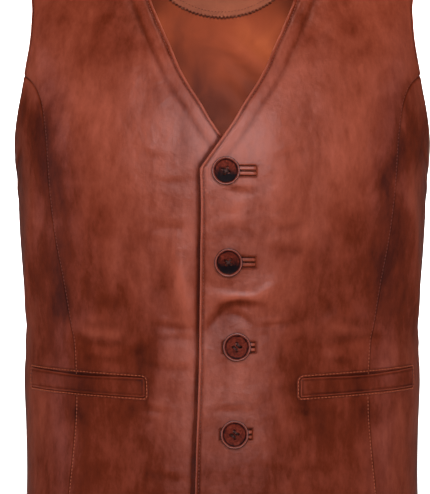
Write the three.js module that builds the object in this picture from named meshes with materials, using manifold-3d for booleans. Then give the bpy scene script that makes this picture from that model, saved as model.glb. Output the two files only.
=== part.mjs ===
// A leather waistcoat with a V neck, four buttons and two welt pockets, worn and hollow.
// Millimetres. +Z is up, +X is the wearer's left and the front faces -Y.
// The origin lies between the two neck points, where the shoulders carry the garment.
import * as THREE from "three";
import Module from "manifold-3d";
import { mergeVertices } from "three/addons/utils/BufferGeometryUtils.js";

const wasm = await Module();
wasm.setup();

// Walls
const leatherWall = 2.0; // leather with its turned backing
const liningWall = 1.0;
const facingWall = 1.4;
const seamGap = 0.3; // between two pieces that are sewn or lie together
const overlapLift = 3.2; // how far the buttoned-over front stands off the one below it

// The worn form
const frontPower = 2.4; // over 2, so the chest is flatter than an ellipse
const backPower = 2.3;
const sideSeamAngle = 95; // degrees round from the centre front
const hemDrop = 575;
const frontCornerRadius = 16; // where the hem turns up into the front edge

// Rings from the neck points, out along the shoulder slope and down to below the hem.
const rings = [
  { drop: 0, halfWidth: 83, front: 8, back: 14 },
  { drop: 10, halfWidth: 107, front: 19, back: 40 },
  { drop: 20, halfWidth: 131, front: 31, back: 57 },
  { drop: 31, halfWidth: 158, front: 43, back: 66 },
  { drop: 40, halfWidth: 178, front: 52, back: 73 },
  { drop: 56, halfWidth: 187, front: 65, back: 82 },
  { drop: 80, halfWidth: 190, front: 81, back: 91 },
  { drop: 120, halfWidth: 191, front: 99, back: 100 },
  { drop: 160, halfWidth: 191.5, front: 110, back: 105 },
  { drop: 200, halfWidth: 191.5, front: 116, back: 107 },
  { drop: 240, halfWidth: 188.5, front: 118, back: 106 },
  { drop: 300, halfWidth: 185, front: 115, back: 100 },
  { drop: 345, halfWidth: 181.6, front: 111, back: 94 },
  { drop: 371, halfWidth: 180.3, front: 109, back: 91.5 },
  { drop: 392, halfWidth: 180.8, front: 109, back: 92 },
  { drop: 425, halfWidth: 181.6, front: 109, back: 94 },
  { drop: 470, halfWidth: 179.8, front: 110, back: 99 },
  { drop: 520, halfWidth: 179.2, front: 112, back: 103 },
  { drop: 600, halfWidth: 182, front: 114, back: 106 },
];

// The centre front edge and the neckline, as distances out to the wearer's own side.
// The edge passes the centre line, so it starts negative: that is the overlap.
const frontEdge = [
  { drop: 233, out: -20 },
  { drop: 262, out: -19 },
  { drop: 310, out: -19.5 },
  { drop: 360, out: -20.1 },
  { drop: 408, out: -20.8 },
  { drop: 443, out: -21.8 },
  { drop: 477, out: -23 },
  { drop: 519, out: -24.1 },
  { drop: 575, out: -25.5 },
];
const neckline = [
  { drop: 0, out: 83 },
  { drop: 8, out: 82.4 },
  { drop: 20, out: 80.8 },
  { drop: 40, out: 76.8 },
  { drop: 60, out: 71.3 },
  { drop: 83, out: 63.2 },
  { drop: 105, out: 54.2 },
  { drop: 126, out: 45 },
  { drop: 144, out: 37.5 },
  { drop: 160, out: 28.6 },
  { drop: 176, out: 18.3 },
  { drop: 190, out: 10.2 },
  { drop: 206, out: -0.8 },
  { drop: 220, out: -10.8 },
  { drop: 233, out: -20 },
];
const backNeck = [
  { out: 0, drop: 18 },
  { out: 25, drop: 17 },
  { out: 45, drop: 14 },
  { out: 62, drop: 9 },
  { out: 75, drop: 3.6 },
  { out: 83, drop: 0 },
];

// The shaping seam of each front, from the armhole through the pocket to the hem.
const shapingSeam = [
  { drop: 147, out: 178.5 },
  { drop: 155, out: 170 },
  { drop: 164, out: 165 },
  { drop: 175, out: 161.5 },
  { drop: 201, out: 158 },
  { drop: 228, out: 156 },
  { drop: 260, out: 153.5 },
  { drop: 297, out: 148.5 },
  { drop: 328, out: 142.5 },
  { drop: 360, out: 137 },
  { drop: 391, out: 132 },
  { drop: 420, out: 130.5 },
  { drop: 450, out: 130.5 },
  { drop: 483, out: 133 },
  { drop: 520, out: 136.7 },
  { drop: 575, out: 141 },
];

// The armhole, from the shoulder tip down its front edge, under the arm and up its back edge.
const armhole = [
  { drop: 40, depth: 0 },
  { drop: 49, depth: -16 },
  { drop: 61, depth: -30 },
  { drop: 81, depth: -42 },
  { drop: 100, depth: -47.5 },
  { drop: 122, depth: -50 },
  { drop: 147, depth: -47.5 },
  { drop: 171, depth: -41 },
  { drop: 195, depth: -30.5 },
  { drop: 216, depth: -15 },
  { drop: 228, depth: -1 },
  { drop: 231, depth: 9 },
  { drop: 226, depth: 20 },
  { drop: 210, depth: 33 },
  { drop: 186, depth: 44 },
  { drop: 160, depth: 50 },
  { drop: 132, depth: 53 },
  { drop: 106, depth: 51 },
  { drop: 81, depth: 44 },
  { drop: 61, depth: 32 },
  { drop: 49, depth: 18 },
  { drop: 40, depth: 0 },
];
const armholeSeamRow = 6; // the row of the table where the shaping seam ends
const underarmRow = 11; // the row where the side seam ends

// Largest folds: each runs from one place to another, angles in degrees round from the
// centre front, and stands out of the form by height, or sinks into it where that is negative.
const folds = [
  { angle: -3, drop: 376, toAngle: 8, toDrop: 354, bow: -5, height: -1.7, width: 11 },
  { angle: 1, drop: 344, toAngle: 19, toDrop: 326, bow: 7, height: 1.9, width: 12 },
  { angle: -12, drop: 300, toAngle: -8, toDrop: 372, bow: 3, height: 1.9, width: 11 },
  { angle: -17, drop: 306, toAngle: -14, toDrop: 368, bow: 2, height: -1.4, width: 11 },
  { angle: -43, drop: 383, toAngle: -23, toDrop: 389, bow: 3, height: -2.8, width: 10 },
  { angle: -41, drop: 366, toAngle: -27, toDrop: 369, bow: -2, height: 2.0, width: 10 },
  { angle: 42, drop: 382, toAngle: 22, toDrop: 388, bow: 3, height: -2.6, width: 10 },
  { angle: 42, drop: 366, toAngle: 28, toDrop: 370, bow: -3, height: 1.9, width: 10 },
  { angle: -31, drop: 288, toAngle: -33, toDrop: 362, bow: 2, height: 1.8, width: 13 },
  { angle: 32, drop: 284, toAngle: 34, toDrop: 358, bow: -2, height: 1.8, width: 13 },
  { angle: -58, drop: 238, toAngle: -78, toDrop: 376, bow: 14, height: 2.6, width: 12 },
  { angle: 58, drop: 238, toAngle: 78, toDrop: 376, bow: 14, height: 2.6, width: 12 },
  { angle: -79, drop: 373, toAngle: -112, toDrop: 369, bow: 3, height: -2.4, width: 10 },
  { angle: 79, drop: 373, toAngle: 110, toDrop: 371, bow: 3, height: -2.4, width: 10 },
  { angle: 122, drop: 392, toAngle: 158, toDrop: 384, bow: 8, height: -2.6, width: 13 },
  { angle: 202, drop: 386, toAngle: 236, toDrop: 397, bow: 9, height: -2.4, width: 13 },
  { angle: 137, drop: 366, toAngle: 171, toDrop: 362, bow: 6, height: 2.1, width: 13 },
  { angle: 186, drop: 364, toAngle: 219, toDrop: 372, bow: 5, height: 2.3, width: 14 },
  { angle: 128, drop: 178, toAngle: 151, toDrop: 262, bow: 4, height: 2.2, width: 15 },
  { angle: 233, drop: 184, toAngle: 209, toDrop: 256, bow: 5, height: 2.0, width: 15 },
  { angle: 158, drop: 438, toAngle: 150, toDrop: 552, bow: 3, height: 2.4, width: 16 },
  { angle: 205, drop: 446, toAngle: 214, toDrop: 556, bow: 3, height: 2.2, width: 16 },
];
const foldSteps = 8;

// Rows of the cloth's net, closer together at the waist, where the leather creases.
const torsoDrops = [
  575, 548, 522, 497, 474, 454, 437, 422, 409, 397, 386, 375, 363, 349, 331, 309, 285, 259, 233,
];
const seamHookRows = 6; // from the level of the V up to the armhole
const strapRows = 8; // from there to the shoulder tip
const backArmholeRows = 13;
const underarmCrowding = 1.35; // over 1, the rows lie closer where the armhole turns
const frontColumns = 12;
const sideColumns = 6;
const backColumns = 9; // on each side of the centre back
const turnedEdge = 0.05; // share of the half back's width

// Buttons and their holes, down the centre front
const buttonRadius = 12.5;
const buttonHeight = 4.4;
const buttonClearance = 1.1; // over the front, so that the cloth can lie under the button
const threadHoleRadius = 1.05;
const threadHoleOffset = 1.9;
const shankRadius = 1.1;
const holeLength = 28;
const holeHeight = 9.6;
const lipDepth = 2.6;
const lipProud = 0.5;
const fastenings = [
  { name: "1", across: 3.0, drop: 235.2, holeEnd: 29.5 },
  { name: "2", across: 5.2, drop: 315.0, holeEnd: 28.9 },
  { name: "3", across: 12.5, drop: 390.0, holeEnd: 28.6 },
  { name: "4", across: 10.5, drop: 466.9, holeEnd: 25.9 },
];

// Pocket welts, set into a narrow turned rim
const welt = { innerAngle: 21.4, innerDrop: 426, outerDrop: 419, length: 121, height: 17, wall: 2.2 };
const rim = { width: 2.2, gap: 0.7, wall: 1.0, corner: 1.0 };
const pocketGap = 0.6; // clears the flats of the panels' net

// The half-moon neck facing inside the back
const facingRadius = 82;
const facingCentreDrop = 1;
const facingSegments = 72;
const facingReach = 240; // past the back of the form

const degree = Math.PI / 180;

function smoothStep(value, low, high) {
  return THREE.MathUtils.smoothstep(value, low, high);
}

// A smooth curve through one column of a table whose key column rises.
function readTable(rows, key, column, at) {
  const last = rows.length - 1;
  let i = 0;
  while (i < last - 1 && at > rows[i + 1][key]) i++;
  const slope = (j) => {
    const before = rows[Math.max(j - 1, 0)];
    const after = rows[Math.min(j + 1, last)];
    return (after[column] - before[column]) / (after[key] - before[key]);
  };
  const span = rows[i + 1][key] - rows[i][key];
  const t = (at - rows[i][key]) / span;
  const rise = rows[i + 1][column] - rows[i][column];
  const a = slope(i) * span - rise;
  const b = rise - slope(i + 1) * span;
  return rows[i][column] + t * rise + t * (1 - t) * (a * (1 - t) + b * t);
}

// The run is the distance from the neck point along the side of the form.
rings.forEach((ring, i) => {
  const before = rings[Math.max(i - 1, 0)];
  ring.run =
    (before.run ?? 0) + Math.hypot(ring.drop - before.drop, ring.halfWidth - before.halfWidth);
});
const ringValue = (column, run) => readTable(rings, "run", column, run);

function runAtDrop(drop) {
  let low = 0;
  let high = rings[rings.length - 1].run;
  for (let i = 0; i < 40; i++) {
    const middle = (low + high) / 2;
    if (ringValue("drop", middle) < drop) low = middle;
    else high = middle;
  }
  return (low + high) / 2;
}

// A place on the cloth is an angle round the body and a run down it.
const place = (angle, run) => ({ angle, run });

function placeAcross(across, drop) {
  const run = runAtDrop(drop);
  const share = Math.min(Math.abs(across) / ringValue("halfWidth", run), 1);
  const ahead = (1 - share ** frontPower) ** (1 / frontPower);
  return place(Math.sign(across) * Math.atan2(share, ahead), run);
}

function placeAtDepth(depth, drop) {
  const run = runAtDrop(drop);
  const isBack = depth > 0;
  const power = isBack ? backPower : frontPower;
  const ahead = Math.abs(depth) / ringValue(isBack ? "back" : "front", run);
  const share = (1 - ahead ** power) ** (1 / power);
  const angle = Math.atan2(share, ahead);
  return place(isBack ? Math.PI - angle : angle, run);
}

function backPlaceAcross(across, drop) {
  const run = runAtDrop(drop);
  const share = Math.min(Math.abs(across) / ringValue("halfWidth", run), 1);
  const behind = (1 - share ** backPower) ** (1 / backPower);
  return place(Math.PI - Math.sign(across) * Math.atan2(share, behind), run);
}

function formPoint({ angle, run }) {
  const across = Math.sin(angle);
  const ahead = Math.cos(angle);
  const power = ahead > 0 ? frontPower : backPower;
  const reach = ringValue(ahead > 0 ? "front" : "back", run);
  const size = (Math.abs(across) ** power + Math.abs(ahead) ** power) ** (1 / power);
  return new THREE.Vector3(
    (ringValue("halfWidth", run) * across) / size,
    (-reach * ahead) / size,
    -ringValue("drop", run),
  );
}

function formNormal({ angle, run }) {
  const step = 0.01;
  const round = formPoint(place(angle + step, run)).sub(formPoint(place(angle - step, run)));
  const down = formPoint(place(angle, run + 1)).sub(formPoint(place(angle, Math.max(run - 1, 0))));
  return down.cross(round).normalize();
}

const foldPaths = folds.map((fold) => {
  const points = [];
  for (let i = 0; i <= foldSteps; i++) {
    const t = i / foldSteps;
    const angle = THREE.MathUtils.lerp(fold.angle, fold.toAngle, t) * degree;
    const drop = THREE.MathUtils.lerp(fold.drop, fold.toDrop, t) + fold.bow * 4 * t * (1 - t);
    points.push(formPoint(place(angle, runAtDrop(drop))));
  }
  return { ...fold, points };
});

function foldHeight(point) {
  const nearest = new THREE.Vector3();
  const line = new THREE.Line3();
  let height = 0;
  for (const fold of foldPaths) {
    let best = Infinity;
    let along = 0;
    for (let i = 0; i < foldSteps; i++) {
      line.set(fold.points[i], fold.points[i + 1]);
      const t = line.closestPointToPointParameter(point, true);
      const distance = line.at(t, nearest).distanceTo(point);
      if (distance < best) [best, along] = [distance, (i + t) / foldSteps];
    }
    const taper = 0.35 + 0.65 * Math.sin(Math.PI * along);
    height += fold.height * taper * Math.exp(-((best / fold.width) ** 2));
  }
  return height;
}

// The buttoned-over front stands off the other one as far as the overlap reaches.
function liftOver(point) {
  return (
    overlapLift * (1 - smoothStep(point.x, 34, 84)) * (1 - smoothStep(point.z, -196, -136))
  );
}

// A point of the cloth, stood off its outer face by an offset.
function clothPoint(where, offset, isOver = false) {
  const point = formPoint(where);
  const lift = isOver ? liftOver(point) : 0;
  return point.addScaledVector(formNormal(where), foldHeight(point) + lift + offset);
}

// A closed wall over a net of places: outer face, inner face and a rim on each free edge.
function wallOver(net, outer, inner, isOver = false) {
  const count = net.places.length;
  const positions = [outer, inner].flatMap((offset) =>
    net.places.flatMap((where) => clothPoint(where, offset, isOver).toArray()),
  );
  const index = [];
  const edges = new Map();
  for (const [a, b, c, d] of net.quads) {
    index.push(a, b, c, a, c, d);
    index.push(count + a, count + c, count + b, count + a, count + d, count + c);
    [[a, b], [b, c], [c, d], [d, a]].forEach(([from, to]) => edges.set(from + "_" + to, [from, to]));
  }
  for (const [from, to] of edges.values()) {
    if (edges.has(to + "_" + from)) continue;
    index.push(to, from, count + from, to, count + from, count + to);
  }
  const geometry = new THREE.BufferGeometry();
  geometry.setAttribute("position", new THREE.Float32BufferAttribute(positions, 3));
  geometry.setIndex(index);
  return geometry;
}

// A net from rows of places. Side -1 mirrors it to the wearer's right.
function netFromRows(rows, side = 1) {
  const width = rows[0].length;
  const places = rows.flat().map(({ angle, run }) => place(side * angle, run));
  const quads = [];
  for (let i = 0; i + 1 < rows.length; i++)
    for (let j = 0; j + 1 < width; j++) {
      const [a, b, c, d] = [i * width + j, i * width + j + 1, (i + 1) * width + j + 1, (i + 1) * width + j];
      quads.push(side > 0 ? [a, b, c, d] : [b, a, d, c]);
    }
  return { places, quads };
}

// Places spaced by their distance on the body along a path of close places: evenly, or
// closer together at the start where the power is over 1.
function spaceAlong(path, steps, power = 1) {
  const along = [0];
  const points = path.map(formPoint);
  for (let i = 1; i < path.length; i++) along.push(along[i - 1] + points[i].distanceTo(points[i - 1]));
  const total = along[along.length - 1];
  return Array.from({ length: steps + 1 }, (_, k) => {
    const at = total * (k / steps) ** power;
    let i = 0;
    while (i < path.length - 2 && along[i + 1] < at) i++;
    const t = (at - along[i]) / (along[i + 1] - along[i]);
    return mix(path[i], path[i + 1], t);
  });
}

const mix = (a, b, t) =>
  place(THREE.MathUtils.lerp(a.angle, b.angle, t), THREE.MathUtils.lerp(a.run, b.run, t));

// Close places from low to high along a table of distances out from the centre line.
function tracePath(rows, fromDrop, toDrop, steps = 60) {
  return Array.from({ length: steps + 1 }, (_, i) => {
    const drop = THREE.MathUtils.lerp(fromDrop, toDrop, i / steps);
    return placeAcross(readTable(rows, "drop", "out", drop), drop);
  });
}

// Close places along the armhole, between two rows of its table.
const armholeCurve = new THREE.SplineCurve(
  armhole.map(({ drop, depth }) => new THREE.Vector2(depth, drop)),
);
function traceArmhole(fromRow, toRow, steps = 60) {
  const spans = armhole.length - 1;
  return Array.from({ length: steps + 1 }, (_, i) => {
    const at = armholeCurve.getPoint(THREE.MathUtils.lerp(fromRow, toRow, i / steps) / spans);
    return placeAtDepth(at.x, at.y);
  });
}

// The front edge, with its lower corner rounded into the hem.
function frontEdgePlace(drop) {
  const toHem = hemDrop - drop;
  const left = Math.max(frontCornerRadius - toHem, 0);
  const turned = frontCornerRadius - Math.sqrt(frontCornerRadius ** 2 - left ** 2);
  return placeAcross(readTable(frontEdge, "drop", "out", drop) + turned, drop);
}

const seamPlace = (drop) => placeAcross(readTable(shapingSeam, "drop", "out", drop), drop);

// Boundaries that two panels share are stepped once, so their edges run side by side.
const seamLow = torsoDrops.map(seamPlace);
const seamHigh = spaceAlong(tracePath(shapingSeam, 233, 147), seamHookRows);
const seamStations = [...seamLow, ...seamHigh.slice(1)];
const sideSeamBottom = place(sideSeamAngle * degree, runAtDrop(hemDrop));
const underarm = placeAtDepth(armhole[underarmRow].depth, armhole[underarmRow].drop);
const sideStations = seamStations.map((_, i) => {
  const t = i / (seamStations.length - 1);
  return mix(sideSeamBottom, underarm, t);
});
const shoulderTipRun = runAtDrop(armhole[0].drop);

function shoulderPlaces(depth, columns) {
  return Array.from({ length: columns + 1 }, (_, j) => {
    const run = (shoulderTipRun * j) / columns;
    return placeAtDepth(depth, ringValue("drop", Math.max(run, 0.2)));
  });
}

// A row from an inner to an outer place, drawn in at each end by half of a seam's gap.
function ruleRow(inner, outer, columns) {
  const width = formPoint(inner).distanceTo(formPoint(outer));
  const inset = seamGap / 2 / width;
  return Array.from({ length: columns + 1 }, (_, j) =>
    mix(inner, outer, inset + (1 - 2 * inset) * (j / columns)),
  );
}

function frontRows() {
  const edge = torsoDrops.map(frontEdgePlace);
  const neck = spaceAlong(tracePath(neckline, 233, 0), seamHookRows + strapRows);
  const strap = spaceAlong(traceArmhole(armholeSeamRow, 0), strapRows);
  const inner = [...edge, ...neck.slice(1)];
  const outer = [...seamStations, ...strap.slice(1)];
  const rows = inner.map((from, i) => ruleRow(from, outer[i], frontColumns));
  rows[rows.length - 1] = shoulderPlaces(-seamGap / 2, frontColumns);
  return rows;
}

// The side panel runs from the shaping seam to the side seam, and its top is the armhole.
function sideRows() {
  const top = spaceAlong(traceArmhole(armholeSeamRow, underarmRow), sideColumns);
  const last = seamStations.length - 1;
  return seamStations.map((inner, i) => {
    const row = ruleRow(inner, sideStations[i], sideColumns);
    const straight = ruleRow(seamStations[last], sideStations[last], sideColumns);
    const share = (i / last) ** 4; // the rows bend towards the armhole only near it
    return row.map((where, j) =>
      place(
        where.angle + share * (top[j].angle - straight[j].angle) * (j % sideColumns ? 1 : 0),
        where.run + share * (top[j].run - straight[j].run) * (j % sideColumns ? 1 : 0),
      ),
    );
  });
}

// The last column of the back is its narrow turned edge, which the lining leaves bare.
const backShares = Array.from({ length: backColumns + 1 }, (_, j) =>
  Math.min((j / (backColumns - 1)) * (1 - turnedEdge), 1),
);
backShares[backColumns] = 1;

// Half of the back, from its centre line and neck curve out to the side seam and armhole.
function halfBackRows() {
  const neckPath = Array.from({ length: 61 }, (_, i) => {
    const out = (backNeck[backNeck.length - 1].out * i) / 60;
    return backPlaceAcross(out, readTable(backNeck, "out", "drop", out));
  });
  const neck = spaceAlong(neckPath, backArmholeRows, underarmCrowding);
  const low = sideStations.map((_, i) => {
    const t = i / (sideStations.length - 1);
    return mix(place(Math.PI, sideSeamBottom.run), neck[0], t);
  });
  const strapPath = traceArmhole(underarmRow, armhole.length - 1);
  const strap = spaceAlong(strapPath, backArmholeRows, underarmCrowding);
  const inner = [...low, ...neck.slice(1)];
  const outer = [...sideStations, ...strap.slice(1)];
  const rows = inner.map((from, i) => {
    const width = formPoint(from).distanceTo(formPoint(outer[i]));
    const inset = seamGap / 2 / width;
    return backShares.map((share) => mix(from, outer[i], (1 - inset) * share));
  });
  rows[rows.length - 1] = shoulderPlaces(seamGap / 2, backColumns);
  return rows;
}

// Both halves of the back as one net, joined along the centre line below the neck.
function backNet(rows, joinedRows) {
  const left = netFromRows(rows, 1);
  const width = rows[0].length;
  const count = left.places.length;
  const right = rows.flat().map(({ angle, run }) => place(2 * Math.PI - angle, run));
  const turned = left.quads.map(([a, b, c, d]) => [b, a, d, c]);
  const shared = (i) => (i % width === 0 && i < joinedRows * width ? i : i + count);
  return {
    places: [...left.places, ...right],
    quads: [...turned, ...left.quads.map((quad) => quad.map(shared))],
  };
}

// Drops the places that no quad uses.
function tidyNet({ places, quads }) {
  const used = [...new Set(quads.flat())];
  const renamed = new Map(used.map((old, i) => [old, i]));
  return { places: used.map((i) => places[i]), quads: quads.map((q) => q.map((i) => renamed.get(i))) };
}

// A place on a pocket, along its welt from the inner end and up from its centre line.
const weltRun = runAtDrop((welt.innerDrop + welt.outerDrop) / 2);
const weltAngles = [{ along: 0, angle: welt.innerAngle * degree }];
for (let i = 0; i < 90; i++) {
  const from = weltAngles[i];
  const next = from.angle + degree;
  const step = formPoint(place(from.angle, weltRun)).distanceTo(formPoint(place(next, weltRun)));
  weltAngles.push({ along: from.along + step, angle: next });
}
weltAngles.unshift({ along: -2 * weltAngles[1].along, angle: (welt.innerAngle - 2) * degree });
function pocketPlace(along, up) {
  const drop = THREE.MathUtils.lerp(welt.innerDrop, welt.outerDrop, along / welt.length) - up;
  return place(readTable(weltAngles, "along", "angle", along), runAtDrop(drop));
}

function weltNet(side) {
  const columns = 14;
  const rows = [-0.5, 0, 0.5].map((share) =>
    Array.from({ length: columns + 1 }, (_, j) =>
      pocketPlace((welt.length * j) / columns, share * welt.height),
    ),
  );
  return netFromRows(rows, side);
}

// The turned rim is a closed strip along a rectangle with rounded corners.
function rimNet(side) {
  const cornerSteps = 3;
  const longSteps = 12;
  const shortSteps = 2;
  const strip = [rim.gap, rim.gap + rim.width].map((out) => {
    const points = [];
    const radius = rim.corner + out;
    const right = welt.length - rim.corner;
    const upper = welt.height / 2 - rim.corner;
    const corners = [
      { x: right, y: -upper, turn: -90, steps: shortSteps },
      { x: right, y: upper, turn: 0, steps: longSteps },
      { x: rim.corner, y: upper, turn: 90, steps: shortSteps },
      { x: rim.corner, y: -upper, turn: 180, steps: longSteps },
    ];
    corners.forEach(({ x, y, turn, steps }, k) => {
      const next = corners[(k + 1) % 4];
      for (let i = 0; i <= cornerSteps; i++) {
        const angle = (turn + (90 * i) / cornerSteps) * degree;
        points.push([x + radius * Math.cos(angle), y + radius * Math.sin(angle)]);
      }
      const [startX, startY] = points[points.length - 1];
      const turned = next.turn * degree;
      const [endX, endY] = [next.x + radius * Math.cos(turned), next.y + radius * Math.sin(turned)];
      for (let i = 1; i < steps; i++)
        points.push([
          THREE.MathUtils.lerp(startX, endX, i / steps),
          THREE.MathUtils.lerp(startY, endY, i / steps),
        ]);
    });
    return points;
  });
  const count = strip[0].length;
  const places = strip.flat().map(([along, up]) => {
    const { angle, run } = pocketPlace(along, up);
    return place(side * angle, run);
  });
  const quads = strip[0].map((_, i) => {
    const next = (i + 1) % count;
    return side > 0 ? [i, count + i, count + next, next] : [count + i, i, next, count + next];
  });
  return { places, quads };
}

function solidOf(geometry) {
  const plain = geometry.clone();
  plain.deleteAttribute("normal");
  plain.deleteAttribute("uv");
  const merged = mergeVertices(plain, 1e-4);
  return new wasm.Manifold(
    new wasm.Mesh({
      numProp: 3,
      vertProperties: new Float32Array(merged.attributes.position.array),
      triVerts: new Uint32Array(merged.index.array),
    }),
  );
}

function geometryOf(solid) {
  const { vertProperties, triVerts } = solid.getMesh();
  const geometry = new THREE.BufferGeometry();
  geometry.setAttribute("position", new THREE.BufferAttribute(new Float32Array(vertProperties), 3));
  geometry.setIndex(new THREE.BufferAttribute(new Uint32Array(triVerts), 1));
  return geometry;
}

// Where a fastening sits: x runs along the hole, z out of the cloth.
function fasteningFrame(across, drop) {
  const where = placeAcross(across, drop);
  const out = formNormal(where);
  const up = new THREE.Vector3(0, 0, 1).addScaledVector(out, -out.z).normalize();
  const along = new THREE.Vector3().crossVectors(up, out);
  return new THREE.Matrix4().makeBasis(along, up, out).setPosition(clothPoint(where, 0, true));
}

// How far the over front stands out of a frame's plane within a radius.
function highestNear(frame, across, drop, radius) {
  const back = frame.clone().invert();
  let highest = -Infinity;
  for (let i = -4; i <= 4; i++)
    for (let j = -4; j <= 4; j++) {
      if (Math.hypot(i, j) > 4.2) continue;
      const where = placeAcross(across + (radius * i) / 4, drop + (radius * j) / 4);
      highest = Math.max(highest, clothPoint(where, 0, true).applyMatrix4(back).z);
    }
  return highest;
}

// A dished button with a raised rim and four thread holes, its back on z = 0.
function buttonGeometry() {
  const profile = [
    [0, 0],
    [buttonRadius - 2.6, 0],
    [buttonRadius - 0.5, 1.2],
    [buttonRadius, 2.5],
    [buttonRadius - 0.5, buttonHeight - 0.5],
    [buttonRadius - 1.4, buttonHeight],
    [buttonRadius - 2.4, buttonHeight - 0.5],
    [buttonRadius - 3.4, buttonHeight - 1.5],
    [0, buttonHeight - 2.0],
  ].map(([x, y]) => new THREE.Vector2(x, y));
  let solid = solidOf(new THREE.LatheGeometry(profile, 24).rotateX(Math.PI / 2));
  for (const turn of [20, 110, 200, 290]) {
    const hole = new THREE.CylinderGeometry(threadHoleRadius, threadHoleRadius, 3 * buttonHeight, 8);
    hole.rotateX(Math.PI / 2);
    const reach = threadHoleOffset * Math.SQRT2;
    hole.translate(reach * Math.cos(turn * degree), reach * Math.sin(turn * degree), 0);
    solid = solid.subtract(solidOf(hole));
  }
  return geometryOf(solid);
}

// One leather lip of a bound buttonhole. The slit opens where the thread passes.
function lipGeometry(shankAt, side) {
  const end = holeLength / 2 - seamGap;
  const edge = holeHeight / 2 - seamGap;
  const opened = shankRadius + seamGap;
  const closed = 0.35;
  const shape = new THREE.Shape();
  shape.moveTo(-end, side * edge);
  const steps = 12;
  for (let i = 0; i <= steps; i++) {
    const x = THREE.MathUtils.lerp(-end, end, i / steps);
    const near = Math.exp(-(((x - shankAt) / 6) ** 2));
    shape.lineTo(x, side * THREE.MathUtils.lerp(closed, opened + 0.15, near));
  }
  shape.lineTo(end, side * edge);
  shape.closePath();
  const bevel = 0.4;
  return new THREE.ExtrudeGeometry(shape, {
    depth: lipDepth - 2 * bevel,
    bevelEnabled: true,
    bevelThickness: bevel,
    bevelSize: bevel,
    bevelOffset: -bevel,
    bevelSegments: 1,
    steps: 1,
  }).translate(0, 0, lipProud - lipDepth + bevel);
}

const leather = new THREE.MeshStandardMaterial({ color: 0x8b4a3a, roughness: 0.45, metalness: 0 });
const leatherEdge = new THREE.MeshStandardMaterial({ color: 0xa0604a, roughness: 0.5, metalness: 0 });
const lining = new THREE.MeshStandardMaterial({ color: 0x9c4f30, roughness: 0.55, metalness: 0 });
const facing = new THREE.MeshStandardMaterial({ color: 0xa25c44, roughness: 0.8, metalness: 0 });
const horn = new THREE.MeshStandardMaterial({ color: 0x4a1712, roughness: 0.25, metalness: 0 });
const thread = new THREE.MeshStandardMaterial({ color: 0x8a5a40, roughness: 0.8, metalness: 0 });

const vest = new THREE.Group();

function addPiece(name, geometry, material, matrix = new THREE.Matrix4()) {
  const mesh = new THREE.Mesh(geometry, material);
  mesh.name = name;
  mesh.applyMatrix4(matrix);
  vest.add(mesh);
}

// Two fronts. The wearer's left one lies over the other, and its buttonholes are cut through.
const frontNet = frontRows();
let overFront = solidOf(wallOver(netFromRows(frontNet, 1), 0, -leatherWall, true));
for (const { across, drop, holeEnd, name } of fastenings) {
  const centre = holeEnd - holeLength / 2;
  const frame = fasteningFrame(centre, drop);
  const window = new THREE.BoxGeometry(holeLength, holeHeight, 24).applyMatrix4(frame);
  overFront = overFront.subtract(solidOf(window));
  [["upper", 1], ["lower", -1]].forEach(([level, side]) => {
    const lip = lipGeometry(across - centre, side);
    addPiece(`buttonhole_${name}_${level}_lip`, lip, leatherEdge, frame);
  });

  const seat = fasteningFrame(across, drop);
  const lift = highestNear(seat, across, drop, buttonRadius) + buttonClearance;
  const buttonAt = seat.clone().multiply(new THREE.Matrix4().makeTranslation(0, 0, lift));
  addPiece(`button_${name}`, buttonGeometry(), horn, buttonAt);

  const below = clothPoint(placeAcross(across, drop), 0).applyMatrix4(seat.clone().invert()).z;
  const shankLength = lift - below - 2 * seamGap;
  const shank = new THREE.CylinderGeometry(shankRadius, shankRadius, shankLength, 10);
  shank.rotateX(Math.PI / 2).translate(0, 0, below + seamGap + shankLength / 2);
  addPiece(`thread_shank_${name}`, shank, thread, seat);
}
addPiece("front_left", geometryOf(overFront), leather);
addPiece("front_right", wallOver(netFromRows(frontNet, -1), 0, -leatherWall), leather);

for (const [name, side] of [["left", 1], ["right", -1]]) {
  addPiece(`side_${name}`, wallOver(netFromRows(sideRows(), side), 0, -leatherWall), leather);
  const isOver = side > 0;
  const weltWall = wallOver(weltNet(side), pocketGap + welt.wall, pocketGap, isOver);
  const rimWall = wallOver(rimNet(side), pocketGap + rim.wall, pocketGap, isOver);
  addPiece(`pocket_welt_${name}`, weltWall, leatherEdge);
  addPiece(`pocket_rim_${name}`, rimWall, leather);
}

// The back, its lining and the neck facing are three layers over one net.
const backRows = halfBackRows();
const joinedRows = sideStations.length;
addPiece("back", wallOver(tidyNet(backNet(backRows, joinedRows)), 0, -leatherWall), leather);

// The lining stops short of the side seams, armholes, shoulders and hem.
const liningRows = backRows.slice(1, -1).map((row) => row.slice(0, -1));
const liningNet = tidyNet(backNet(liningRows, joinedRows - 1));
const liningOut = -leatherWall - seamGap;
const liningIn = liningOut - liningWall;
addPiece("back_lining", wallOver(liningNet, liningOut, liningIn), lining);

const facingOut = liningIn - seamGap;
const disc = new THREE.CylinderGeometry(facingRadius, facingRadius, facingReach, facingSegments);
disc.translate(0, facingReach / 2, -facingCentreDrop);
const facingSheet = solidOf(wallOver(liningNet, facingOut, facingOut - facingWall));
addPiece("neck_facing", geometryOf(facingSheet.intersect(solidOf(disc))), facing);

export default vest;
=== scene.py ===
import math

import bmesh
import bpy
import numpy as np
from mathutils import Matrix, Vector


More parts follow.
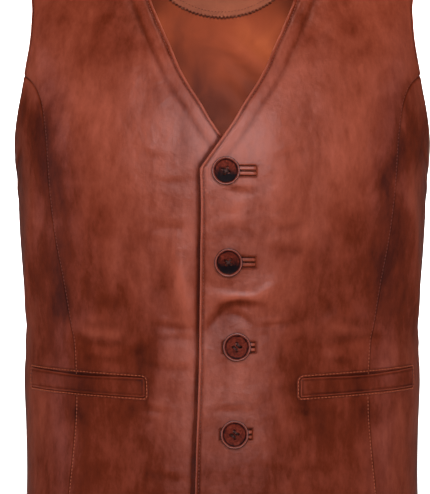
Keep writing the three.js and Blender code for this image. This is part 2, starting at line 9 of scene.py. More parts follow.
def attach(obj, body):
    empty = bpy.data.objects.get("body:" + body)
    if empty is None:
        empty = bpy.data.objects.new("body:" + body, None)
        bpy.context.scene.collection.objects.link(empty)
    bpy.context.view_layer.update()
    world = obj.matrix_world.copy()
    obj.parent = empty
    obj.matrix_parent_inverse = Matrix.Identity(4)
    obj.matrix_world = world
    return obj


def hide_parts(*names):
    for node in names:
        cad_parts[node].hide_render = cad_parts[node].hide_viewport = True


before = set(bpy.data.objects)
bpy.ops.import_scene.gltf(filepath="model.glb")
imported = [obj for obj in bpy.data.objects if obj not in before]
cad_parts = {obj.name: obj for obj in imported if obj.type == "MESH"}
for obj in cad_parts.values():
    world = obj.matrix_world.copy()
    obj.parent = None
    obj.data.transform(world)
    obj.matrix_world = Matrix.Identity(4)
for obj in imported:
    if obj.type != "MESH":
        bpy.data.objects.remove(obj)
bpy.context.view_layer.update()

mm = 0.001
degree = math.pi / 180


def table(columns, *rows):
    return {name: np.array(values, float) for name, values in zip(columns.split(), zip(*rows))}


# The worn form, in mm
form = dict(frontPower=2.4, backPower=2.3, sideSeamAngle=95, hemDrop=575, cornerRadius=16,
            neckHalfWidth=83, buttoningDrop=233, seamTopDrop=147, wall=2.0, edgeRadius=1.0,
            overlapLift=3.2, overlapEnd=(34, 84), overlapTop=(-196, -136),
            frontColumns=84, sideColumns=52, backColumns=70, lowRows=188, hookRows=52, strapRows=78,
            backStrapRows=92)

rings = table("drop halfWidth front back",
              (0, 83, 8, 14), (10, 107, 19, 40), (20, 131, 31, 57), (31, 158, 43, 66), (40, 178, 52, 73),
              (56, 187, 65, 82), (80, 190, 81, 91), (120, 191, 99, 100), (160, 191.5, 110, 105),
              (200, 191.5, 116, 107), (240, 188.5, 118, 106), (300, 185, 115, 100), (345, 181.6, 111, 94),
              (371, 180.3, 109, 91.5), (392, 180.8, 109, 92), (425, 181.6, 109, 94), (470, 179.8, 110, 99),
              (520, 179.2, 112, 103), (600, 182, 114, 106))

frontEdge = table("drop out", (233, -20), (262, -19), (310, -19.5), (360, -20.1), (408, -20.8),
                  (443, -21.8), (477, -23), (519, -24.1), (575, -25.5))
neckline = table("drop out", (0, 83), (8, 82.4), (20, 80.8), (40, 76.8), (60, 71.3), (83, 63.2), (105, 54.2),
                 (126, 45), (144, 37.5), (160, 28.6), (176, 18.3), (190, 10.2), (206, -0.8), (220, -10.8),
                 (233, -20))
backNeck = table("out drop", (0, 18), (25, 17), (45, 14), (62, 9), (75, 3.6), (83, 0))
shapingSeam = table("drop out", (147, 178.5), (155, 170), (164, 165), (175, 161.5), (201, 158), (228, 156),
                    (260, 153.5), (297, 148.5), (328, 142.5), (360, 137), (391, 132), (420, 130.5),
                    (450, 130.5), (483, 133), (520, 136.7), (575, 141))
armhole = table("drop depth", (40, 0), (49, -16), (61, -30), (81, -42), (100, -47.5), (122, -50),
                (147, -47.5), (171, -41), (195, -30.5), (216, -15), (228, -1), (231, 9), (226, 20), (210, 33),
                (186, 44), (160, 50), (132, 53), (106, 51), (81, 44), (61, 32), (49, 18), (40, 0))
armholeSeamRow, underarmRow, armholeLastRow = 6, 11, 21  # rows of the armhole where seams meet it

# Largest folds, as on the solids: angles round from the centre front, then drops
folds = table("angle drop toAngle toDrop bow height width",
              (-3, 376, 8, 354, -5, -1.7, 11), (1, 344, 19, 326, 7, 1.9, 12),
              (-12, 300, -8, 372, 3, 1.9, 11), (-17, 306, -14, 368, 2, -1.4, 11),
              (-43, 383, -23, 389, 3, -2.8, 10), (-41, 366, -27, 369, -2, 2.0, 10),
              (42, 382, 22, 388, 3, -2.6, 10), (42, 366, 28, 370, -3, 1.9, 10),
              (-31, 288, -33, 362, 2, 1.8, 13), (32, 284, 34, 358, -2, 1.8, 13),
              (-58, 238, -78, 376, 14, 2.6, 12), (58, 238, 78, 376, 14, 2.6, 12),
              (-79, 373, -112, 369, 3, -2.4, 10), (79, 373, 110, 371, 3, -2.4, 10),
              (122, 392, 158, 384, 8, -2.6, 13), (202, 386, 236, 397, 9, -2.4, 13),
              (137, 366, 171, 362, 6, 2.1, 13), (186, 364, 219, 372, 5, 2.3, 14),
              (128, 178, 151, 262, 4, 2.2, 15), (233, 184, 209, 256, 5, 2.0, 15),
              (158, 438, 150, 552, 3, 2.4, 16), (205, 446, 214, 556, 3, 2.2, 16))


def readTable(rows, key, column, at):
    # smooth curve through one column, as the solids use
    keys, values = rows[key], rows[column]
    at = np.asarray(at, float)
    last = len(keys) - 1
    i = np.clip(np.searchsorted(keys, at, side="left") - 1, 0, last - 1)
    before, after = np.maximum(np.arange(last + 1) - 1, 0), np.minimum(np.arange(last + 1) + 1, last)
    slopes = (values[after] - values[before]) / (keys[after] - keys[before])
    span, rise = keys[i + 1] - keys[i], values[i + 1] - values[i]
    t = (at - keys[i]) / span
    a, b = slopes[i] * span - rise, rise - slopes[i + 1] * span
    return values[i] + t * rise + t * (1 - t) * (a * (1 - t) + b * t)


rings["run"] = np.concatenate([[0], np.cumsum(np.hypot(np.diff(rings["drop"]), np.diff(rings["halfWidth"])))])
fineRun = np.linspace(0, rings["run"][-1], 4000)
fineDrop = readTable(rings, "run", "drop", fineRun)


def ringValue(column, run):
    return readTable(rings, "run", column, run)


def runAtDrop(drop):
    return np.interp(drop, fineDrop, fineRun)


def places(angle, run):
    return np.stack(np.broadcast_arrays(np.asarray(angle, float), run), axis=-1)


def placeAcross(across, drop, isBack=False):
    run = runAtDrop(drop)
    power = form["backPower"] if isBack else form["frontPower"]
    share = np.minimum(np.abs(across) / ringValue("halfWidth", run), 1)
    angle = np.sign(across) * np.arctan2(share, (1 - share ** power) ** (1 / power))
    return places(math.pi - angle if isBack else angle, run)


def placeAtDepth(depth, drop):
    run = runAtDrop(drop)
    isBack = depth > 0
    power = np.where(isBack, form["backPower"], form["frontPower"])
    ahead = np.abs(depth) / np.where(isBack, ringValue("back", run), ringValue("front", run))
    angle = np.arctan2((1 - ahead ** power) ** (1 / power), ahead)
    return places(np.where(isBack, math.pi - angle, angle), run)


def formPoint(where):
    angle, run = where[..., 0], where[..., 1]
    across, ahead = np.sin(angle), np.cos(angle)
    power = np.where(ahead > 0, form["frontPower"], form["backPower"])
    reach = np.where(ahead > 0, ringValue("front", run), ringValue("back", run))
    size = (np.abs(across) ** power + np.abs(ahead) ** power) ** (1 / power)
    return np.stack([ringValue("halfWidth", run) * across / size, -reach * ahead / size,
                     -ringValue("drop", run)], axis=-1)


def unit(vectors):
    return vectors / np.maximum(np.linalg.norm(vectors, axis=-1, keepdims=True), 1e-12)


def formNormal(where):
    turn, down = np.array([0.01, 0]), np.array([0, 1.0])
    higher = where - down
    higher[..., 1] = np.maximum(higher[..., 1], 0)
    around = formPoint(where + turn) - formPoint(where - turn)
    return unit(np.cross(formPoint(where + down) - formPoint(higher), around))


def smoothStep(value, low, high):
    t = np.clip((value - low) / (high - low), 0, 1)
    return t * t * (3 - 2 * t)


def distanceTo(points, path):
    # distance from each point to a path, and how far along it the nearest place lies
    starts, spans = path[:-1], np.diff(path, axis=0)
    lengths = np.maximum((spans ** 2).sum(1), 1e-12)
    best, along = np.full(len(points), 1e9), np.zeros(len(points))
    for i in range(len(starts)):
        t = np.clip((points - starts[i]) @ spans[i] / lengths[i], 0, 1)
        distance = np.linalg.norm(points - starts[i] - t[:, None] * spans[i], axis=1)
        closer = distance < best
        best[closer], along[closer] = distance[closer], (i + t[closer]) / len(starts)
    return best, along


def bell(value, width):
    return np.exp(-(value / width) ** 2)


def lengthsAlong(path):
    return np.concatenate([[0], np.cumsum(np.linalg.norm(np.diff(path, axis=0), axis=1))])


def readPath(path, along, at):
    # what a path holds at some lengths along it
    return np.stack([np.interp(at, along, column) for column in path.T], axis=1)


# Folds and creases
foldSteps = 8
creaseLip = 0.4  # share of a crease's height that stands up above it
longSide = 2.4  # how much longer a crease's lower side is


def creasePath(angle, drop, toAngle, toDrop, bow):
    t = np.linspace(0, 1, foldSteps + 1)
    drops = drop + (toDrop - drop) * t + bow * 4 * t * (1 - t)
    return formPoint(places((angle + (toAngle - angle) * t) * degree, runAtDrop(drops)))


def acrossAngle(across, drop):
    return placeAcross(across, drop)[..., 0] / degree


# Creases of the leather, seen from the front: across and drop of both ends, in mm.
# A trough has height below nought, a soft ridge above it and a long lower side.
frontCreases = table("across drop toAcross toDrop bow height width",
                     (-63, 243, -27, 243, 2, -0.35, 2.6), (-74, 278, -29, 281, 3, -0.45, 2.8),
                     (-66, 288, -32, 287, -2, -0.35, 2.4), (-68, 367, -23, 373, 2, -0.6, 2.6),
                     (-57, 384, -25, 384, -2, -0.4, 2.4), (-73, 402, -25, 409, 3, -0.45, 3.0),
                     (-68, 443, -50, 447, 2, -0.6, 2.8), (-70, 454, -54, 455, 1, -0.45, 2.6),
                     (-130, 382, -84, 387, 3, -0.7, 3.4), (-127, 375, -86, 378, 2, 0.7, 4.0),
                     (-43, 307, -28, 368, 4, 0.8, 6.0), (-90, 331, -80, 366, 3, -0.5, 5.0),
                     (-118, 398, -84, 402, 2, -0.5, 2.8), (-60, 500, -34, 506, 2, -0.4, 3.0),
                     (5, 250, 28, 253, 2, -0.5, 2.6), (-6, 290, 24, 289, -4, -0.35, 4.0),
                     (-6, 268, 16, 271, 2, -0.2, 2.2), (36, 280, 66, 284, 2, -0.35, 2.8),
                     (41, 301, 73, 305, 2, -0.4, 3.0), (0, 354, 30, 352, -1.5, -1.7, 3.0),
                     (-13, 374, 4, 353, -3, -1.3, 2.8), (14, 350, 46, 334, 3, 0.65, 3.6),
                     (4, 359, 27, 371, -3, -0.7, 2.4), (-16, 344, 20, 349, -2, 0.5, 4.0),
                     (34, 370, 60, 367, 1, -0.6, 1.8), (58, 387, 73, 379, 1, -0.5, 2.2),
                     (95, 388, 144, 381, -2, -0.7, 3.4), (91, 374, 127, 379, -2, 0.7, 4.0),
                     (58, 444, 80, 449, 2, -0.6, 2.8), (60, 452, 76, 456, 1, -0.45, 2.4),
                     (-6, 444, 22, 445, 1, -0.35, 2.4), (86, 330, 94, 366, -3, -0.5, 5.0),
                     (84, 398, 116, 403, 2, -0.5, 2.8), (30, 492, 60, 497, 2, -0.4, 3.0),
                     (42, 222, 76, 214, 3, -0.35, 3.4), (-80, 214, -44, 224, 3, -0.35, 3.4),
                     (60, 120, 96, 108, 4, -0.4, 5.0), (-98, 112, -62, 124, 4, -0.4, 5.0))
aroundCreases = table("angle drop toAngle toDrop bow height width",
                      (-80, 396, -108, 390, 3, -1.0, 4.5), (80, 395, 109, 391, 3, -1.0, 4.5),
                      (-66, 214, -86, 238, 4, -1.0, 4.0), (66, 214, 86, 238, 4, -1.0, 4.0),
                      (-70, 236, -88, 262, 3, -0.8, 4.0), (70, 236, 88, 262, 3, -0.8, 4.0),
                      (120, 404, 148, 398, 3, -0.8, 3.4), (212, 398, 240, 405, 3, -0.8, 3.4),
                      (134, 380, 170, 377, -3, -0.6, 3.0), (190, 378, 226, 383, -3, -0.6, 3.0),
                      (126, 214, 142, 236, 4, -0.7, 4.0), (234, 216, 218, 240, 4, -0.7, 4.0),
                      (150, 86, 176, 92, 5, -0.5, 5.0), (186, 94, 212, 84, 5, -0.5, 5.0),
                      (108, 450, 124, 458, 3, -0.5, 3.4), (-110, 452, -125, 459, 3, -0.5, 3.4))

creases = [(creasePath(*row[:5]), *row[5:], 0) for row in zip(*folds.values())]
for across, drop, toAcross, toDrop, bow, height, width in zip(*frontCreases.values()):
    path = creasePath(acrossAngle(across, drop), drop, acrossAngle(toAcross, toDrop), toDrop, bow)
    creases.append((path, height, width, creaseLip))
creases += [(creasePath(*row[:5]), *row[5:], creaseLip) for row in zip(*aroundCreases.values())]


def creaseHeight(points):
    # how far the folds stand out, and their painted shade: darker in troughs, a painted highlight on ridges
    height, rubAndFoldShade = np.zeros(len(points)), np.zeros(len(points))
    for path, amount, width, lip in creases:
        reach = 3.2 * width
        near = np.flatnonzero(((points > path.min(0) - reach) & (points < path.max(0) + reach)).all(1))
        if not len(near):
            continue
        distance, along = distanceTo(points[near], path)
        if lip:
            taper = np.sin(math.pi * np.clip(along, 0.02, 0.98)) ** 0.6
            above = points[near, 2] - np.interp(along * (len(path) - 1), np.arange(len(path)), path[:, 2])
            across = distance / width * np.sign(above)
            trough = bell(np.where(across > 0, across, across / longSide), 1)
            ridge = lip * bell(across - 2.0, 1.1)
            # painted shade in the crease's trough, painted highlight on its ridge
            rubAndFoldShade[near] += amount * taper * (bell(distance, width) - 0.8 * ridge)
        else:
            taper = 0.35 + 0.65 * np.sin(math.pi * along)
            trough, ridge = bell(distance, width), 0
            # painted shade along the large folds, painted highlight along their ridges
            rubAndFoldShade[near] += np.sign(amount) * min(abs(amount), 0.7) * taper * trough
        height[near] += amount * taper * (trough - ridge)
    return height, rubAndFoldShade


def liftOver(points):
    # the over front lies further out, all the way to its edge
    beyond = smoothStep(points[:, 0], *form["overlapEnd"])
    return form["overlapLift"] * (1 - beyond) * (1 - smoothStep(points[:, 2], *form["overlapTop"]))


# Paths on the form
traceSteps = 400
crowding = (0.12, 0.4, 0.8, 1.3, 2.1, 3.4)  # mm from a free edge, where the edge rounds
seamInset = 0.03  # mm from a panel's edge to the seam
hookShare = 6 / 14  # of the neckline lies beside the upper part of the shaping seam
sideLean = 4  # how sharply the side panel's rows turn into the armhole at its top
backCrowd = 1.35  # how much closer the back's rows lie near its neck and underarm


def tracePath(rows, fromDrop, toDrop):
    drops = np.linspace(fromDrop, toDrop, traceSteps + 1)
    return placeAcross(readTable(rows, "drop", "out", drops), drops)


def traceArmhole(fromRow, toRow):
    points = np.stack([armhole["depth"], armhole["drop"]], axis=1)
    at = np.linspace(fromRow, toRow, traceSteps + 1)
    i = np.minimum(at.astype(int), armholeLastRow)
    t = (at - i)[:, None]
    p0, p1, p2, p3 = (points[np.clip(i + k, 0, armholeLastRow)] for k in (-1, 0, 1, 2))
    v0, v1 = (p2 - p0) / 2, (p3 - p1) / 2
    curve = (2 * p1 - 2 * p2 + v0 + v1) * t ** 3 + (-3 * p1 + 3 * p2 - 2 * v0 - v1) * t ** 2 + v0 * t + p1
    return placeAtDepth(curve[:, 0], curve[:, 1])


def spaceAlong(path, steps, power=1.0, crowd=()):
    # places spaced by their distance on the body; crowd lists distances in mm kept at the far end
    along = lengthsAlong(formPoint(path))
    total = along[-1]
    at = (total - (crowd[-1] if crowd else 0)) * np.linspace(0, 1, steps + 1 - len(crowd)) ** power
    if crowd:
        at = np.concatenate([at, total - np.array(crowd[::-1])[1:], [total]])
    return readPath(path, along, at)


def mixPlaces(a, b, t):
    return a + (b - a) * np.asarray(t)[..., None]


def frontEdgePlaces(drops):
    left = np.maximum(form["cornerRadius"] - (form["hemDrop"] - drops), 0)
    turned = form["cornerRadius"] - np.sqrt(form["cornerRadius"] ** 2 - left ** 2)
    return placeAcross(readTable(frontEdge, "drop", "out", drops) + turned, drops)


hemDrop = form["hemDrop"]
lowDrops = np.concatenate([[hemDrop], hemDrop - np.array(crowding),
                           np.linspace(hemDrop - 5, form["buttoningDrop"], form["lowRows"] - len(crowding))])
seamLow = placeAcross(readTable(shapingSeam, "drop", "out", lowDrops), lowDrops)
seamHigh = spaceAlong(tracePath(shapingSeam, form["buttoningDrop"], form["seamTopDrop"]), form["hookRows"])
seamStations = np.concatenate([seamLow, seamHigh[1:]])
lowCount, hookEnd = len(lowDrops), len(seamStations)
sideBottom = np.array([form["sideSeamAngle"] * degree, runAtDrop(hemDrop)])
underarm = placeAtDepth(armhole["depth"][underarmRow], armhole["drop"][underarmRow])

# The side seam: the same heights as the shaping seam near the hem, then evenly up to the underarm
lowShare = (hemDrop - lowDrops) / (hemDrop - form["seamTopDrop"])
highShare = np.linspace(lowShare[-1], 1, form["hookRows"] + 1)[1:]
sideStations = mixPlaces(sideBottom, underarm, np.concatenate([lowShare, highShare]))


def ruleRows(inner, outer, columns, isJoined=False):
    # rows of places from an inner to an outer edge, crowded beside both, or beside the outer if joined
    near, inset = np.array((0,) + crowding), 0 if isJoined else seamInset
    rows = []
    for width in np.linalg.norm(formPoint(inner) - formPoint(outer), axis=1):
        steps = near * min(1, 0.2 * width / crowding[-1])
        start, end = np.zeros(1) if isJoined else steps, width - steps[::-1]
        inside = np.linspace(start[-1], end[0], columns + 3 - len(start) - len(end))[1:-1]
        at = np.concatenate([start, inside, end]) / width
        rows.append(inset / width + (1 - (inset + seamInset) / width) * at)
    return mixPlaces(inner[:, None], outer[:, None], np.array(rows))


def frontNet():
    neckPath = tracePath(neckline, form["buttoningDrop"], 0)
    along = lengthsAlong(formPoint(neckPath))
    split = int(np.searchsorted(along, along[-1] * hookShare))
    neckLow = spaceAlong(neckPath[: split + 1], form["hookRows"])
    neckHigh = spaceAlong(neckPath[split:], form["strapRows"], crowd=crowding)
    strap = spaceAlong(traceArmhole(armholeSeamRow, 0), form["strapRows"], crowd=crowding)
    inner = np.concatenate([frontEdgePlaces(lowDrops), neckLow[1:], neckHigh[1:]])
    return ruleRows(inner, np.concatenate([seamStations, strap[1:]]), form["frontColumns"])


def sideNet():
    net = ruleRows(seamStations, sideStations, form["sideColumns"])
    shift = spaceAlong(traceArmhole(armholeSeamRow, underarmRow), form["sideColumns"]) - net[-1]
    shift[0] = shift[-1] = 0
    return net + (np.linspace(0, 1, len(net)) ** sideLean)[:, None, None] * shift


def halfBackNet():
    outs = np.linspace(0, form["neckHalfWidth"], 300)
    neckPath = placeAcross(outs, readTable(backNeck, "out", "drop", outs), isBack=True)
    neck, strap = (spaceAlong(path, form["backStrapRows"], backCrowd, crowding)
                   for path in (neckPath, traceArmhole(underarmRow, armholeLastRow)))
    share = (sideStations[:, 1] - sideBottom[1]) / (underarm[1] - sideBottom[1])
    low = mixPlaces(np.array([math.pi, sideBottom[1]]), neck[0], share)
    outer = np.concatenate([sideStations, strap[1:]])
    return ruleRows(np.concatenate([low, neck[1:]]), outer, form["backColumns"], isJoined=True)


def linesBeside(net, column, inset, rows=slice(None)):
    # a path that runs at a steady distance inside one side edge of a net
    near, far = net[:, column], net[:, -1 if column == 0 else 0]
    edge, other = formPoint(near), formPoint(far)
    inward, along = unit(other - edge), unit(np.gradient(edge, axis=0))
    sine = np.maximum(np.linalg.norm(np.cross(inward, along), axis=1), 0.35)
    return mixPlaces(near, far, inset / (sine * np.linalg.norm(other - edge, axis=1)))[rows]


def linesAbove(net, inset, isTop=False):
    # the same inside the bottom or top edge of a net
    columns = (net[::-1] if isTop else net).swapaxes(0, 1)
    return np.array([readPath(column, lengthsAlong(formPoint(column)), [inset])[0] for column in columns])


front, side, halfBack = frontNet(), sideNet(), halfBackNet()
print("nets", front.shape, side.shape, halfBack.shape)

# Pockets: a welt in a slot, with a narrow turned rim round it, measured along and up the slot
pocket = dict(innerAngle=21.4, innerDrop=426.0, outerDrop=419.0, length=121.0, height=17.0, wall=2.2, gap=0.6,
              rimWidth=2.4, rimGap=0.5, rimHeight=1.0, corners=(1.0, 1.0, 3.4, 1.6), columns=150, rows=26,
              mouthAt=58.0, mouthSpread=34.0, mouthDepth=1.7, rowCrowd=1.35, edgeShare=0.35, crownSpread=1.2,
              foldDepth=0.35, foldAt=2.6, foldWidth=0.7, edgeRise=0.4)
weltRun = runAtDrop((pocket["innerDrop"] + pocket["outerDrop"]) / 2)
weltAngles = pocket["innerAngle"] * degree + np.linspace(-3, 90, 1000) * degree
weltAlong = lengthsAlong(formPoint(places(weltAngles, weltRun)))
weltAlong -= np.interp(pocket["innerAngle"] * degree, weltAngles, weltAlong)


def mirrored(where, kind="front"):
    # the same places on the wearer's right; a back's angles run on past half a turn
    return where * [-1, 1] + ([2 * math.pi, 0] if kind == "back" else 0)


def slotMiddle(along):
    # drop of the slot's middle, which rises towards the side
    return pocket["innerDrop"] + (pocket["outerDrop"] - pocket["innerDrop"]) * along / pocket["length"]


def alongPocket(where):
    # how far along the slot and above its middle each place lies, for either side
    along = np.interp(np.abs(where[:, 0]), weltAngles, weltAlong)
    return along, slotMiddle(along) - np.interp(where[:, 1], fineRun, fineDrop)


def pocketPlaces(along, up, isRight):
    where = places(np.interp(along, weltAlong, weltAngles), runAtDrop(slotMiddle(along) - up))
    return mirrored(where) if isRight else where


# Buttons and their bound holes: across and drop of the button, outer end of the hole
button = dict(radius=12.5, height=4.4, holeRadius=1.3, holeOffset=2.0, shankRadius=1.1,
              dish=2.15, segments=72)
hole = dict(length=28.0, height=9.6, proud=0.75, slit=0.5, cutReach=12, margin=0.3, fullness=1.3,
            threadRoom=0.45, threadBulge=6, lipCrown=0.25, columns=40, turns=20)
fastenings = table("across drop holeEnd turn", (3.0, 235.2, 29.5, 20), (5.2, 315.0, 28.9, 8),
                   (12.5, 390.0, 28.6, 45), (10.5, 466.9, 25.9, 52))

# Relief of the sewn cloth
sewn = dict(edgeStitch=2.8, seamStitch=1.1, hemStitch=7.5, dip=0.42, dipWidth=0.8, puff=0.3, puffAt=2.4,
            puffWidth=1.5, facingLine=13.5, facingDip=0.4, facingWidth=3.2)


def thinPoints(path):
    # about 90 points of a path are enough to measure from
    return formPoint(path[np.unique(np.linspace(0, len(path) - 1, 90).astype(int))])


armholeRows = slice(hookEnd - 1, None)
seamStitches = linesBeside(front, -1, sewn["seamStitch"], slice(0, hookEnd))
stitchLines = dict(
    front=[linesBeside(front, 0, sewn["edgeStitch"]), linesBeside(front, -1, sewn["edgeStitch"], armholeRows),
           linesAbove(front, sewn["hemStitch"])],
    side=[linesAbove(side, sewn["edgeStitch"], isTop=True), linesAbove(side, sewn["hemStitch"])],
    back=[linesBeside(halfBack, column, sewn["edgeStitch"], armholeRows) for column in (-1, 0)]
    + [linesAbove(halfBack, sewn["hemStitch"])])
edgeLines = dict(front=[front[:, 0], front[armholeRows, -1]], side=[side[-1]],
                 back=[halfBack[armholeRows, -1], halfBack[armholeRows, 0]])
stitchPaths, edgePaths = ({kind: [thinPoints(path) for path in lines] for kind, lines in group.items()}
                          for group in (stitchLines, edgeLines))
facingPath = thinPoints(linesBeside(front, 0, sewn["facingLine"], slice(lowCount - 6, None)))
seamPath = thinPoints(seamStations)


def onLeft(points, where, kind):
    # the same points on the wearer's left, where the sewn paths lie
    turned = points.copy()
    turned[:, 0] = points[:, 0] * np.sign(np.median(where[:, 0])) if kind == "front" else np.abs(points[:, 0])
    return turned


def sewnRelief(points, kind):
    # stitched lines dip between soft puffs, and the neck facing's edge shows through
    height = np.zeros(len(points))
    for path in stitchPaths[kind]:
        distance = distanceTo(points, path)[0]
        height -= sewn["dip"] * bell(distance, sewn["dipWidth"])
        height += sewn["puff"] * bell(distance - sewn["puffAt"], sewn["puffWidth"])
    if kind == "front":
        height -= sewn["facingDip"] * bell(distanceTo(points, facingPath)[0], sewn["facingWidth"])
    return height


def relief(where, kind, isOver=False):
    # total height over the plain form, and the painted fold shade that colours the leather
    flat = where.reshape(-1, 2)
    points = formPoint(flat)
    height, rubAndFoldShade = creaseHeight(points)
    height += sewnRelief(onLeft(points, flat, kind), kind)
    if isOver:
        height += liftOver(points)
    return height, rubAndFoldShade, points


def clothPoints(where, kind, isOver=False, offset=0.0):
    height, rubAndFoldShade, points = relief(where, kind, isOver)
    return points + formNormal(where.reshape(-1, 2)) * (height + offset)[:, None]


# Colours and materials
def linear(text):
    values = [int(text[i:i + 2], 16) / 255 for i in (1, 3, 5)]
    return tuple(v / 12.92 if v < 0.04045 else ((v + 0.055) / 1.055) ** 2.4 for v in values) + (1.0,)


def setNode(tree, node, *values, stops=(), **settings):
    # adds a node, or takes one, and fills its sockets: values in order, in_Scale=2 by name, stops on a ramp
    node = tree.nodes.new(node) if isinstance(node, str) else node
    sockets = list(enumerate(values))
    for key, value in settings.items():
        if key.startswith("in_"):
            sockets.append((key[3:].replace("_", " "), value))
        else:
            setattr(node, key, value)
    for socket, value in sockets:
        if isinstance(value, bpy.types.Node):
            value = value.outputs[0]
        if isinstance(value, bpy.types.NodeSocket):
            tree.links.new(value, node.inputs[socket])
        else:
            node.inputs[socket].default_value = value
    for i, (position, colour) in enumerate(stops):
        element = node.color_ramp.elements[i] if i < 2 else node.color_ramp.elements.new(position)
        element.position, element.color = position, linear(colour)
    return node


def newMaterial(name, **settings):
    material = bpy.data.materials.new(name)
    material.use_nodes = True
    tree = material.node_tree
    tree.nodes.clear()
    shader = setNode(tree, "ShaderNodeBsdfPrincipled", **settings)
    setNode(tree, "ShaderNodeOutputMaterial", shader)
    return material, tree, shader


# Drum-dyed garment leather, burnished by hand: cloudy brown, with mottled dye, painted shade and painted
# highlights from its attribute, a soft gloss that is stronger where wear has polished it, and a grain that
# breaks up the highlights
leather = dict(tones=((0.0, "#33120a"), (0.22, "#4b1b0e"), (0.42, "#662815"), (0.6, "#7d351f"),
                      (0.78, "#90422a"), (1.0, "#a9543b")),
               middle=0.66, spread=0.44, roughness=0.33, gloss=(0.06, 0.37), evenGloss=0.25,
               clouds=((18.0, 5.0, 0.6, 0.5, 0.18),  # scale, detail and reach of 55 mm clouds of dye
                       (110.0, 8.0, 0.72, 0.0, 0.11)),  # and of 9 mm specks
               streak=(38.0, 6.0, 0.6, 0.8), streakReach=(0.6, 1.4),  # 26 mm strokes of the burnishing pad
               brushing=(1.0, 1.0, 0.45),  # drawn out down the garment
               grainScale=900.0,  # 1.1 mm cells, about twice the real pores, which wouldn't show
               wrinkleScale=150.0, slackScale=34.0)  # 7 mm wrinkles and 30 mm waves of the hide


def leatherMaterial(name, darker=0.0):
    material, tree, shader = newMaterial(name, in_IOR=1.45)
    coords = setNode(tree, "ShaderNodeTexCoord").outputs["Object"]
    brushed = setNode(tree, "ShaderNodeMapping", in_Vector=coords, in_Scale=leather["brushing"])
    burnishAndPaintedShade = setNode(tree, "ShaderNodeAttribute", attribute_name="burnishAndPaintedShade").outputs["Fac"]
    scale, detail, rough, bent = leather["streak"]
    streak = setNode(tree, "ShaderNodeTexNoise", in_Vector=brushed, in_Scale=scale, in_Detail=detail,
                     in_Roughness=rough, in_Distortion=bent)
    uneven = setNode(tree, "ShaderNodeMapRange", streak, 0.3, 0.7, *leather["streakReach"])
    worked = setNode(tree, "ShaderNodeMath", burnishAndPaintedShade, uneven, operation="MULTIPLY")
    middle = leather["middle"] - darker
    tone = setNode(tree, "ShaderNodeMapRange", worked, -1.0, 1.0, middle - leather["spread"],
                   middle + leather["spread"])
    for scale, detail, rough, bent, reach in leather["clouds"]:
        cloud = setNode(tree, "ShaderNodeTexNoise", in_Vector=brushed, in_Scale=scale, in_Detail=detail,
                        in_Roughness=rough, in_Distortion=bent)
        shift = setNode(tree, "ShaderNodeMapRange", cloud, 0.3, 0.7, -reach, reach)
        tone = setNode(tree, "ShaderNodeMath", tone, shift, operation="ADD")
    colour = setNode(tree, "ShaderNodeValToRGB", tone, stops=leather["tones"])
    rough = setNode(tree, "ShaderNodeMapRange", cloud, 0.3, 0.7, leather["roughness"] - 0.04,
                    leather["roughness"] + 0.08)
    gloss = setNode(tree, "ShaderNodeMapRange", tone, 0.42, 0.85, *leather["gloss"])
    cells = setNode(tree, "ShaderNodeTexVoronoi", in_Vector=coords, in_Scale=leather["grainScale"],
                    feature="F1")
    wrinkle = setNode(tree, "ShaderNodeTexNoise", in_Vector=coords, in_Scale=leather["wrinkleScale"],
                      in_Detail=4.0, in_Distortion=0.8)
    slack = setNode(tree, "ShaderNodeTexNoise", in_Vector=coords, in_Scale=leather["slackScale"],
                    in_Detail=3.0)
    bump = setNode(tree, "ShaderNodeBump", in_Height=cells, in_Strength=0.3, in_Distance=0.00012)
    for height, strength, distance in ((wrinkle, 0.4, 0.0005), (slack, 0.5, 0.0028)):
        bump = setNode(tree, "ShaderNodeBump", in_Height=height, in_Strength=strength, in_Distance=distance,
                       in_Normal=bump)
    shader.inputs["Specular IOR Level"].default_value = leather["evenGloss"]  # the even gloss, which stands wherever the mapped gloss is not linked
    setNode(tree, shader, in_Base_Color=colour, in_Roughness=rough, in_Normal=bump)
    tree.links.new(gloss.outputs[0], shader.inputs["Specular IOR Level"])
    return material


def plainMaterial(name, colour, roughness):
    return newMaterial(name, in_Base_Color=linear(colour), in_Roughness=roughness)[0]


def streakedMaterial(name, tones, roughness, gloss, streakScale, spread):
    # the tone follows the piece's attribute of painted light and shade, with short streaks
    material, tree, shader = newMaterial(name, in_Roughness=roughness, in_Specular_IOR_Level=gloss)
    coords = setNode(tree, "ShaderNodeTexCoord").outputs["Object"]
    streak = setNode(tree, "ShaderNodeTexNoise", in_Vector=coords, in_Scale=streakScale, in_Detail=3.0,
                     in_Distortion=1.0)
    burnishAndPaintedShade = setNode(tree, "ShaderNodeAttribute", attribute_name="burnishAndPaintedShade").outputs["Fac"]
    uneven = setNode(tree, "ShaderNodeMapRange", streak, 0.3, 0.7, -spread, spread)
    tone = setNode(tree, "ShaderNodeMath", burnishAndPaintedShade, uneven, operation="ADD")
    setNode(tree, shader, in_Base_Color=setNode(tree, "ShaderNodeValToRGB", tone, stops=tones))
    return material


def facingMaterial(name, light, dark, roughness):
    # tan hide left unglazed: dry and evenly matt, with 25 mm clouds and a 2 mm nap
    material, tree, shader = newMaterial(name, in_Roughness=roughness)
    coords = setNode(tree, "ShaderNodeTexCoord").outputs["Object"]
    cloud = setNode(tree, "ShaderNodeTexNoise", in_Vector=coords, in_Scale=40.0, in_Detail=4.0,
                    in_Distortion=0.4)
    nap = setNode(tree, "ShaderNodeTexNoise", in_Vector=coords, in_Scale=500.0, in_Detail=3.0)
    colour = setNode(tree, "ShaderNodeValToRGB", cloud, stops=((0.35, dark), (0.65, light)))
    bump = setNode(tree, "ShaderNodeBump", in_Height=nap, in_Strength=0.5, in_Distance=0.0003)
    setNode(tree, shader, in_Base_Color=colour, in_Normal=bump)
    return material


